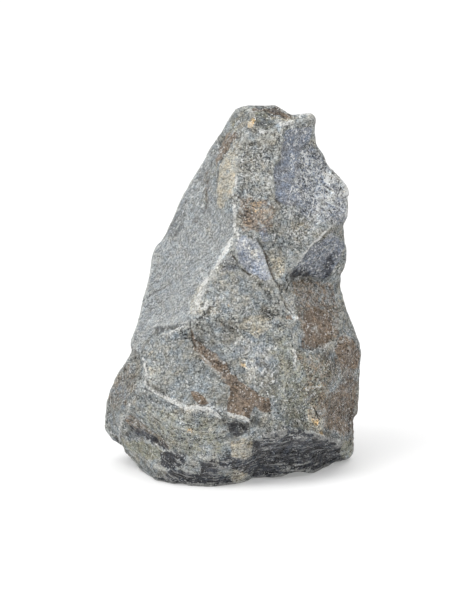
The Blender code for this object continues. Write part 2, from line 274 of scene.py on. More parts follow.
PATCHES: tuple[Patch, ...] = (
    *patches(Layer.RUST,
        (0.56, 3, ((2.5, 144), (7.5, 145.5), (13, 144), (19, 144), (22.5, 137), (20.5, 128), (16, 125),
            (9, 126), (4, 127), (2.5, 136))),
        (0.66, 2.5, ((4, 137), (10, 140), (15, 136), (14, 129), (9, 127), (5.5, 128))),
        (0.52, 1, ((30, 102.5), (36.5, 103.5), (45, 102.5), (50.5, 101), (52, 93), (54, 84), (53.5, 75),
            (46.5, 69.5), (39.5, 67), (33.5, 69.5), (34.5, 77), (32.5, 84), (30.5, 93))),
        (0.85, 1.6, RUSTY_BLOCK),
        (0.75, 0.7, ((-20.5, 80), (-18, 74), (-11.5, 68.5), (-3, 62.5), (0.5, 56.5), (-2, 50), (-7, 56),
            (-13.5, 61.5), (-17.5, 67), (-20.5, 74))),
        (1, 0.7, ((-3.5, 57), (2, 55), (8, 47.5), (11.5, 41), (9, 34.5), (-2.5, 37.5), (-1, 48.5))),
        (0.8, 0.9, ((4, 53), (13, 46.5), (20, 37.5), (15, 36.5), (9, 42.5), (4.5, 48.5))),
        (1, 0.6, ((-20.5, 48), (-16.5, 47.5), (-11.5, 42), (-14, 40), (-19, 43.5))),
        (0.75, 2.2, ((52, 74.5), (56.5, 76.5), (62, 72.5), (64, 67), (64, 59), (61.5, 57), (57.5, 59),
            (53, 62), (50.5, 68))),
        (0.52, 2.5, ((52, 73), (59, 70.5), (63, 63), (63, 53), (54, 51), (50, 63))),
        (0.62, 2.5, ((53.5, 53), (59, 56), (64, 53), (62.5, 33), (61, 25), (54, 25), (47, 28), (46, 38),
            (50, 47))),
        (0.55, 2, ((42, 45), (51, 49), (54, 38), (52, 27), (45, 29), (41, 37))),
        (0.42, 2, ((-62, 55), (-53.5, 64.5), (-47, 60.5), (-47, 48), (-52, 40.5), (-60, 37), (-63.5, 44))),
        (0.5, 0.8, ((-54, 36), (-50, 36), (-41, 29.5), (-32, 23), (-29.5, 18.5), (-33, 19.5), (-41, 23.5),
            (-48, 28), (-53, 32))),
        (0.6, 0.8, ((9, 188), (15, 189), (22, 189.5), (30, 184), (28, 182), (22, 185.5), (15, 186.5),
            (10, 185.5))),
        (0.6, 1.2, ((-4, 176), (3, 177.5), (2.5, 173), (-1, 167.5), (-5, 163), (-8, 159), (-9.5, 163),
            (-6.5, 170))),
        (0.32, 0.8, ((-2, 155), (2, 155.5), (2, 146.5), (-1, 144), (-3.5, 148))),
        (0.42, 1.2, ((-14.5, 160), (-11, 158), (-11, 143), (-12, 134.5), (-14.5, 140), (-15, 151))),
        (0.42, 1.2, ((-9, 83.5), (-1, 83.5), (4.5, 80), (-1, 77), (-9, 79))),
        (0.7, 0.6, ((27, 86), (31, 85.5), (30, 82.5), (26.5, 83.5))),
        (0.5, 1, ((30, 68), (36, 65), (35, 60), (30.5, 62))),
        (0.3, 3, ((-23, 137), (-16, 140), (-13, 125.5), (-17, 118), (-23, 123))),
        (0.46, 3, ((34, 65), (51, 70.5), (53, 53), (49, 38), (43, 28), (36, 33), (35, 50.5))),
        (0.55, 1, ((15, 120), (18, 115), (20, 109), (22.5, 102), (20.5, 101.5), (17.5, 108), (15.5, 114))),
        (0.75, 0.7, ((12, 45.5), (19, 44), (19.5, 38), (15, 39)))),
    *patches(Layer.GOLD,
        (0.62, 0.4, ((35, 49.2), (41, 50.2), (46, 51), (46, 49.8), (41, 49), (35.5, 48))),
        (1, 0.7, ((8, 178), (8.5, 182.5), (10.5, 184.5), (11.5, 182.5), (10, 178))),
        (0.65, 0.5, ((39.5, 34), (42.5, 34.5), (43, 31), (40.5, 29.5))),
        (0.9, 0.5, ((43.5, 28), (46, 27.5), (46, 25), (44, 25))),
        (0.5, 0.5, ((-23, 29), (-19.5, 29.5), (-19.5, 27), (-22.5, 27))),
        (0.6, 0.5, ((4.5, 62), (7.5, 61), (7.5, 58.5), (5, 59))),
        (0.5, 0.5, ((-2.5, 91.5), (-0.5, 91), (-1, 89), (-2.5, 89.5))),
        (0.38, 1, ((8, 142), (15, 142), (16, 137), (9, 136))),
        (0.3, 0.5, ((-5.5, 141), (-3.5, 139.5), (-4.5, 136), (-6, 137.5)))),
    *patches(Layer.PALE,
        (0.5, 0.6, ((1.5, 75), (6, 76), (7, 72), (3, 70.5))),
        (0.5, 0.6, ((18, 71.5), (23, 71), (22.5, 67), (18.5, 67.5))),
        (0.5, 0.5, ((-33.5, 124), (-30.5, 125), (-30, 121.5), (-32.5, 121))),
        (0.45, 0.5, ((-29, 117), (-25.5, 118), (-26, 114), (-28.5, 112))),
        (0.5, 0.4, ((-41.5, 107), (-39, 110), (-38.5, 107), (-41, 104))),
        (0.8, 0.4, ((-34, 47), (-30, 44.5), (-26, 42.5), (-22, 41), (-17.5, 41.5), (-12, 40.8), (-13, 39),
            (-17.5, 39), (-23, 38.5), (-28, 41), (-33.5, 45))),
        (0.46, 0.8, ((-45, 68), (-42.5, 67), (-41, 60), (-40, 53), (-42.5, 51), (-44, 58))),
        (0.6, 1, ((-34, 76), (-28, 79.5), (-21, 81.5), (-21, 79.5), (-27, 77.5), (-32.5, 74.5))),
        (0.95, 0.7, ((47, 148), (50.5, 148.5), (51.5, 144), (50, 139.5), (47, 141))),
        (0.85, 0.7, ((45, 157), (49, 158), (51, 153), (49, 150), (46, 152))),
        (0.85, 0.7, ((53, 154), (55.5, 152.5), (59, 146), (57.5, 144), (54.5, 148))),
        (0.6, 0.7, ((40.5, 136), (43.5, 136.5), (45, 132), (42, 130), (40, 132.5))),
        (0.55, 1.2, ((25.5, 93), (29, 97), (32.5, 96), (33, 91), (32, 85), (28, 87))),
        (0.95, 0.4, ((28.5, 87.5), (31.5, 86.5), (33.5, 84), (32, 81.5), (29.5, 84))),
        (0.8, 0.4, ((25, 93), (27, 90.5), (29, 87.5), (28, 86.5), (26, 89), (24.5, 92))),
        (0.5, 1.2, ((29.5, 69.5), (32.5, 69), (32.5, 57.5), (30, 58))),
        (1, 0.5, ((-3, 37.5), (4, 36), (10, 34), (8.5, 32), (3, 33.5), (-2, 35))),
        (0.5, 0.8, ((5, 63), (10, 64), (14, 58), (11, 52), (7, 55))),
        (0.5, 0.8, ((-24, 41), (-16, 41.5), (-9, 39.5), (-3, 36), (-9.5, 36), (-18, 37.5))),
        (0.42, 1.5, ((26, 129), (35, 127), (43, 130), (41, 124), (33, 120), (28, 123))),
        (0.45, 0.8, ((-13, 94), (-3, 97), (-0.5, 95), (-6, 91), (-12.5, 88))),
        (0.55, 0.8, ((20, 181), (32, 182.5), (31, 180), (24, 178.5))),
        (0.3, 0.8, ((32, 186.5), (41, 187), (41, 184.5), (33, 183.5))),
        (0.4, 1, ((24, 28), (34, 27), (43, 24), (40, 22), (29, 24.5))),
        (0.5, 1, ((-18, 17), (-8, 18), (-3, 15), (-9, 13), (-16, 14))),
        (0.95, 0.4, ((1.2, 125.5), (0, 121.5), (-2.5, 117), (-5, 112.5), (-7.5, 108), (-9.2, 108),
            (-6.5, 113.5), (-3.5, 118.5), (-1, 123))),
        (0.6, 0.5, ((10, 116.5), (13, 116.5), (13.5, 113.5), (10.5, 113))),
        (0.42, 0.8, ((4, 123), (11, 122), (14, 117), (15, 111), (10, 112), (6, 116))),
        (0.95, 0.6, ((-21, 41), (-16, 42), (-10, 41), (-5.5, 38.5), (-9, 37), (-16, 38), (-21, 38.5))),
        (0.5, 0.5, ((-26.5, 39), (-24, 38.5), (-23, 31), (-25.5, 31))),
        (0.5, 0.4, ((-15, 21), (-11, 20.5), (-11.5, 18), (-14.5, 18.5)))),
    *patches(Layer.OCHRE,
        (0.58, 1.2, BULGE),
        (0.5, 1, ((-1.5, 171.5), (4.5, 173), (6.5, 168), (4, 161.5), (-1, 160.5), (-3, 165))),
        (0.6, 1.2, ((18.5, 115), (23.5, 114.5), (27.5, 112), (26.5, 107), (23, 102.5), (20, 103.5),
            (19, 109))),
        (0.6, 1.2, ((5, 84), (12, 86.5), (21, 84), (19, 79), (13, 74), (9, 75.5), (4, 79.5))),
        (0.5, 1, ((20, 101.5), (25.5, 101), (32, 97), (32.5, 85), (27, 89.5), (23, 95))),
        (0.85, 0.9, ((-1, 23), (7, 24.5), (10.5, 22.5), (10, 17), (5, 14), (0, 15.5))),
        (0.85, 0.8, ((1, 10), (10, 12), (8.5, 7.5), (4.5, 2.5), (0.5, 1.5), (-0.5, 5.5))),
        (0.4, 0.9, ((-44, 12.5), (-38, 12), (-32, 8), (-36, 5), (-41, 7))),
        (0.5, 0.9, ((-42.5, 68), (-37.5, 68.5), (-38, 64), (-42, 63.5))),
        (0.85, 1, ((38, 36), (43.5, 35.5), (44, 31), (41, 28.5), (38.5, 31))),
        (0.35, 1.5, ((2, 189), (10, 190), (9, 184), (5.5, 179), (1, 178))),
        (0.5, 1.5, ((-18, 101), (-12.5, 103), (-13.5, 95), (-17.5, 87), (-21, 84), (-22, 91))),
        (0.4, 1, ((-14.5, 101), (-10.5, 99), (-13, 91), (-17, 84.5), (-20.5, 84), (-20, 92), (-17.5, 98))),
        (0.5, 1, ((15, 120), (18, 112), (21, 105), (24.5, 97), (27, 91), (25, 93), (21, 100), (17, 109))),
        (0.5, 1, ((-17.5, 89), (-10, 90), (-3.5, 88), (-8, 85), (-16, 84))),
        (0.5, 0.8, ((-7.5, 103), (-2, 103.5), (0.5, 100.5), (-4, 99))),
        (0.55, 1, ((9, 118.5), (13.5, 118), (13, 113), (9, 113))),
        (0.4, 1.5, ((-13.5, 132), (-8.5, 135.5), (-5, 129), (-10, 123), (-14.5, 125))),
        (0.45, 1.2, ((26, 135.5), (34, 132), (43, 130), (45, 125), (37, 123), (29, 127))),
        (0.45, 1.2, ((6, 141), (15, 143), (17.5, 136), (12, 129.5), (6, 132))),
        (0.2, 1.5, ((-18, 23), (-3, 22), (-3, 15), (-17, 15))),
        (0.6, 0.6, ((18, 186), (26, 184), (32, 182), (31, 181), (24, 182.5), (18, 184.5))),
        (0.7, 0.6, ((3, 64.5), (7.5, 64), (7.5, 59), (3.5, 59.5))),
        (0.6, 0.7, ((39, 38), (45, 37), (46.5, 27), (43, 24), (39, 29))),
        (0.42, 1.2, ((51.5, 99), (58.5, 98), (59, 75), (53, 75)))),
    # Light patches lighten the tone; the one marked below is painted light.
    *patches(Layer.LIGHT,
        (0.2, 1.5, BULGE),
        (1, 1.2, ((18.5, 115), (23.5, 114.5), (27.5, 112), (27.5, 102), (23, 102), (20, 103.5), (19, 109))),
        # Painted light: lifts the top of the rust-brown face, which lies in the shade of the shoulder's
        # overhang.
        (1, 1.5, ((30.5, 102.5), (47, 102), (49, 91.5), (34, 89), (32, 96))),
        (0.56, 3, ((-41, 38), (-5, 37), (-2, 26), (-6, 23), (-21, 21), (-33.5, 25), (-41, 31))),
        (0.5, 3, ((3, 74), (27, 73), (29, 55), (15, 53), (4, 58))),
        (0.35, 3, ((-13.5, 112), (2, 112), (15, 100.5), (15, 88), (2, 87), (-12, 93))),
        (0.7, 1.2, ((-2, 123), (2, 124.5), (-0.5, 115), (-7, 105), (-12.5, 95), (-9, 90), (-14.5, 83),
            (-20.5, 83), (-21.5, 91), (-14.5, 104.5), (-7.5, 115))),
        (0.6, 1, ((-7.5, 109), (-13.5, 103), (-18, 94), (-19, 86), (-15.5, 85), (-13, 93), (-9, 100),
            (-5, 108))),
        (0.9, 1.2, STAR_FACET),
        (0.6, 2, ((43, 163), (50.5, 158), (57, 148), (58, 140.5), (53, 137), (49, 132), (43, 135),
            (40, 143), (40, 153))),
        (0.3, 1.5, ((24.5, 164), (26.5, 177.5), (40, 179), (38.5, 172), (33, 165.5), (33.5, 158.5),
            (26, 157))),
        (0.5, 1.5, ((21.5, 157), (33.5, 158.5), (30, 152), (34.5, 145.5), (35.5, 139), (21.5, 142))),
        (0.75, 1.2, ((-3, 155), (2, 155.5), (2, 145), (-2, 143))),
        (0.75, 2.5, ((4, 143), (20, 142), (20, 128), (5, 129))),
        (0.55, 2, ((15, 22), (39, 23), (40, 12), (16, 10))),
        (0.2, 1.5, ((55, 23), (61, 22), (60, 15), (55, 15))),
        (0.75, 2.5, ((17, 179), (26, 180), (26, 168), (18, 168))),
        (1, 1.5, ((37, 179), (45, 179), (48, 167), (38, 167))),
        (0.6, 1.5, ((-3, 167), (4, 167), (4, 155), (-3, 155))),
        (0.7, 2.5, ((27, 167), (36, 167), (36, 155), (28, 154))),
        (0.75, 3, ((17, 90), (34, 89), (35, 70.5), (29, 64), (24, 73))),
        (0.75, 3, ((29, 71.5), (45, 68), (46, 50), (31, 50))),
        (0.8, 2.5, ((37, 42), (47, 42), (47, 27), (38, 28))),
        (0.8, 2, ((47, 103), (55, 101), (55, 89), (48, 89))),
        (0.9, 2, ((-64, 61), (-54, 63), (-55, 51), (-63, 49))),
        (0.75, 2, ((-43, 62), (-34, 63), (-34, 52), (-41, 50))),
        (0.5, 2, ((-53, 24), (-45, 24), (-45, 12), (-52, 12))),
        (0.7, 2, ((47, 17), (57, 18), (60, 12), (49, 10))),
        (0.5, 1.5, ((-7, 94), (7, 93), (6, 81), (-7, 82)))),
    *patches(Layer.OLIVE,
        (0.3, 1.2, ((18, 118), (24, 115), (29, 112), (28, 101), (23, 101), (19.5, 105))),
        (0.48, 3, ((-43, 42), (-21, 37), (-5, 35), (-2, 23), (-3.5, 15.5), (-21, 14.5), (-33.5, 19.5),
            (-46, 29.5), (-48, 37))),
        (0.7, 1.5, ((-55, 24), (-41, 22.5), (-30, 17.5), (-36, 14), (-41, 13), (-48.5, 17), (-54, 19.5))),
        (0.4, 1.5, ((-13.5, 160), (-8, 168), (-5, 163), (-8.5, 153), (-13, 135.5), (-16, 143))),
        (0.6, 1.2, ((54.5, 24), (60, 23), (62, 19), (59.5, 14.5), (54.5, 14), (53, 18))),
        (0.45, 2.5, ((15, 78), (27, 82), (33, 70.5), (32, 57), (35, 43), (27, 30), (15, 31), (22, 39),
            (15, 47), (17, 63))),
        (0.52, 4, ((23, 65), (34, 68), (47, 67), (52, 57), (49, 43), (40, 27), (26, 29), (22, 43))),
        (0.4, 2, ((0, 195), (17, 195), (15, 187), (4, 178), (-3, 163), (-9, 158), (-10, 168))),
        (0.5, 1.5, ((11, 186), (17, 188), (22, 184), (21, 178), (15, 177), (11, 179)))),
    # Shade patches darken the tone; those marked below are painted shade.
    *patches(Layer.SHADE,
        (0.3, 3, ((-40, 69), (-23, 72), (-18, 64), (-13, 57), (-9, 49), (-18, 45), (-26, 48), (-36, 55))),
        (0.42, 2.5, ((-22, 155.5), (-13, 158), (-10, 135), (-16, 128), (-22, 132))),
        (0.7, 1.2, ((-41, 76), (-38, 80), (-30.5, 81), (-21.5, 82.5), (-21.5, 81), (-29, 79), (-36, 76))),
        (0.6, 1, ((-18, 83), (-13, 87.5), (-9, 91), (-8, 89), (-12, 85), (-16.5, 82))),
        (0.3, 2, ((34, 112), (39, 118), (48, 125), (50, 118), (43, 110), (36, 108))),
        # Painted shadow: the dark band under the shoulder's overhang.
        (1, 0.5, ((28, 107), (34, 107.8), (39, 106.5), (35.5, 104), (29, 104))),
        (0.5, 1.5, ((-10, 170), (-7, 168), (-9, 155), (-11, 136), (-14.5, 135), (-14.5, 153))),
        (0.1, 0.6, SHOULDER_FACE),
        (0.8, 1.5, ((12, 186), (17, 187.5), (21.5, 183.5), (21, 178.5), (15, 177.5), (11, 179.5))),
        (0.45, 2.5, ((2, 189), (12, 190), (11, 183), (5.5, 178), (0, 177))),
        (0.5, 2.5, ((-64, 53), (-53.5, 63), (-47, 60.5), (-46, 47), (-52, 37), (-57, 28), (-64, 33))),
        (0.35, 3, ((19, 140.5), (44, 139), (44, 123), (29, 121), (18, 127))),
        # Painted shade in the undercut above the right foot.
        (1, 0.8, ((39, 26.5), (55, 23), (54, 17), (41.5, 17))),
        # Painted shade at the foot, where it meets the ground.
        (0.65, 1.5, ((-4, 5), (6, 4), (4, -3), (-5, -2))),
        (0.45, 2.5, ((-16, 160.5), (-10, 160.5), (-10.5, 133), (-15.5, 135.5))),
        (0.3, 2.5, ((4, 168), (19, 168), (20, 144), (4, 145))),
        (1, 2, ((15, 194), (30, 194), (30, 186), (22, 187), (15, 188))),
        (0.7, 2, ((-2, 193), (7, 194), (6, 182), (-1, 180))),
        (1, 2, ((-14, 179), (-4, 180), (-5, 168), (-13, 167))),
        (0.7, 2.5, ((15, 62), (25, 63), (24, 38), (15, 38))),
        (1, 2, ((26, 38), (36, 38), (36, 27), (27, 28))),
        (0.85, 2, ((56.5, 39), (65, 39), (64, 25), (57, 25))),
        (0.45, 2.5, ((-53, 49), (-36, 49), (-35, 39), (-52, 38))),
        # Painted shade along the foot's lower rim, left of the middle.
        (1, 1.5, ((-46, 11), (-31, 7.5), (-16, 6), (-5, 5), (-5, -4), (-26, -3), (-47, 2))),
        (0.8, 2, ((-33, 140.5), (-22, 143), (-24, 125.5), (-36, 124))),
        (0.65, 2, ((6, 39), (16, 38), (15, 29), (7, 29))),
        (0.9, 1, ((12, 191.5), (30, 190.5), (33, 186), (27, 183), (19, 186), (12, 187))),
        # Painted shade along the lower rim under the right foot's overhang.
        (1, 1, ((15, 7), (34, 11), (56.5, 15.5), (59, 10), (40, 1), (17, -3))),
        (0.5, 0.7, WEDGE)),
    *patches(Layer.SLATE,
        (0.8, 1, PLATE),
        (0.8, 0.6, ((13, 128.5), (17, 129), (18.5, 123), (15, 121.5))),
        (0.3, 3, ((-13.5, 112), (2, 112), (15, 100.5), (15, 88), (2, 85), (-13.5, 93), (-17, 100.5))),
        (0.2, 2, LOW_FACET),
        (0.65, 1.5, ((47.5, 138), (54, 144), (58, 140.5), (57.5, 132), (52, 129), (47, 132))),
        (0.4, 3, ((-3.5, 74), (11.5, 75), (22, 68), (24, 57), (15, 53), (4, 60))),
        (0.4, 2, ((34, 163), (45, 165), (52, 157), (49, 150), (37, 150))),
        (0.7, 0.5, ((34, 113), (39, 118.5), (49.5, 127), (56.5, 121.5), (54.5, 115), (51, 109), (47, 103.5),
            (39, 104.5), (29.5, 105.5))),
        (0.75, 1.5, STAR_FACET),
        (0.6, 2.5, ((28, 168), (40, 172), (50.5, 158), (57, 148), (58, 140.5), (53, 137), (49, 132),
            (43, 130), (34, 135.5), (29, 140.5))),
        (0.5, 0.7, WEDGE)),
    # Dark patches: dark rock, and painted shade where marked below.
    *patches(Layer.DARK,
        # Painted shadow: the dark band under the shoulder's overhang.
        (1, 0.6, ((28, 107.5), (34, 108), (39.5, 107), (39, 104.5), (29.5, 104.5))),
        (0.6, 1.8, ((45.5, 112), (49.5, 116), (52, 111.5), (49.5, 104.5), (45, 103.5))),
        (1, 1.4, ((-36, 17), (-30, 18.5), (-23, 16), (-24, 11), (-30, 9), (-35.5, 11))),
        (0.65, 1.6, ((-33.5, 9), (-26, 9.5), (-18, 7), (-18.5, 2), (-26, 2.5), (-32, 5))),
        (0.7, 1.6, ((-16.5, 13), (-8, 14.5), (-5.5, 9), (-9.5, 1.5), (-16, 3))),
        (0.75, 1.6, ((-6.5, 14), (0, 16.5), (7, 14), (12, 15), (12.5, 8), (9, 6), (-2, 10), (-6, 8))),
        # Darker rock in the undercut above the right foot, and painted shade there.
        (0.7, 1.3, ((10, 23), (16, 27), (27, 29.2), (34.5, 29), (42.5, 27), (50, 24.5), (54.5, 22.5),
            (54, 15.5), (59, 12), (46, 5), (35, 2), (25, 0), (15, -2), (10, 5))),
        # Darker rock and painted shade in the deepest part of that undercut.
        (1, 1.2, ((39.5, 26.5), (50, 24), (55, 21.5), (53.5, 16), (44, 16))),
        (0.6, 1.2, ((-3.5, 33), (2, 33), (8, 31.5), (7.5, 27), (3, 25), (-2, 27))),
        (0.6, 0.7, ((-52, 31), (-46, 29.5), (-38.5, 25), (-32, 21.5), (-29.5, 18), (-33, 18.5), (-41, 22.5),
            (-48, 27))),
        (0.42, 1.5, ((12, 184), (16, 186), (20.5, 183), (20, 179), (15, 178), (11.5, 180))),
        (0.26, 1.5, ((-19.5, 84), (-8.5, 85.5), (4, 83), (5, 77.5), (-2, 76.5), (-13.5, 79))),
        (0.3, 1.5, ((16, 145), (22, 140), (23, 127), (18, 125), (15, 130))),
        (0.25, 2, ((39, 179), (41.5, 182), (42, 175.5), (45, 168), (41, 165), (38, 173))),
        (0.45, 1.2, ((-60, 28), (-54, 23), (-55, 18), (-60, 22))),
        (0.34, 1, ((15, 191.5), (30, 190.5), (32.5, 186.5), (26, 184.5), (20, 187), (14, 188))),
        # Painted shade along the foot's lower rim, where it meets the ground.
        (1, 1, ((-37, 4.5), (-33, 6.5), (-29.5, 9), (-18, 7), (-4, 6), (2, 2), (-4, -6), (-26, -5),
            (-38, -0.5)))),
    *patches(Layer.SLAB,
        (1, 2, ((2, 193), (-6, 190), (-16, 175.5), (-26, 153), (-36, 130.5), (-44, 112), (-49, 93),
            (-53, 70.5), (-46, 67), (-41, 75.5), (-30, 80), (-21, 82), (-13.5, 100.5), (-3.5, 116.5),
            (1, 125), (0.5, 137), (-5, 136.5), (-9, 148), (-9, 159), (-5, 173), (1, 182)))),
    *patches(Layer.SMOOTH,
        (0.9, 1.2, PLATE),
        (0.8, 1.5, STAR_FACET),
        (0.5, 2.5, LOW_FACET),
        (0.5, 1.5, RUSTY_BLOCK),
        (0.5, 1.5, ((-3.5, 57), (2, 55), (13, 46.5), (20, 37.5), (9, 34.5), (-2.5, 37.5), (-1, 48.5))),
        (0.9, 1.5, BULGE),
        (0.6, 3, ((-9, 109), (2, 111), (12, 103), (15, 87), (2, 85), (-11, 88), (-13, 95))),
        (0.6, 3, ((-16, 76), (3, 75), (27, 72), (30, 55), (19, 41), (8, 51), (-3, 62), (-13, 69)))),
    *patches(Layer.BEDS,
        (1, 2.5, ((-68, 28), (-53.5, 23), (-41, 18), (-30, 15.5), (-21, 13), (-3.5, 14), (-2, 31), (9, 31),
            (10, 23), (27, 28), (43, 24), (56.5, 22), (65, 20), (62, 7), (34, 0), (4, -5), (-41, -1),
            (-66, 13))),
        (0.8, 3, ((-48, 38), (-21, 36), (-2, 34), (-2, 23), (-3.5, 14), (-21, 13), (-41, 18),
            (-53.5, 23)))),
    *patches(Layer.SPECK,
        (0.7, 1.5, ((26, 163), (32, 168), (40, 172), (40, 148), (36, 140.5), (27, 141.5), (30, 153))),
        (0.95, 2.5, ((40, 172), (49, 163), (60, 151), (63, 143), (60, 136), (51.5, 130), (43, 130),
            (36, 136), (34, 148), (33, 159), (34, 167))),
        (0.6, 2.5, ((3, 168), (18, 169), (20, 155.5), (20, 140.5), (4, 143), (2.5, 155.5))),
        (0.6, 2, SHOULDER_FACE),
        (0.6, 2, ((25, 178), (40, 180), (40, 170), (33, 165), (27, 168))),
        (0.6, 2, ((1.5, 122.5), (4.5, 125.5), (12.5, 123), (15.5, 118), (18, 109), (20.5, 102.5),
            (9, 106))),
        (0.7, 2, ((25.5, 139), (40, 139), (49, 132), (43, 123), (34, 118), (26, 123))),
        (0.5, 2.5, ((-13.5, 93), (4, 93), (15, 87), (4, 84), (-13.5, 84))),
        (0.5, 2.5, ((-3.5, 74), (15, 73), (26.5, 58), (26.5, 43), (15, 45.5), (4, 57)))),
)

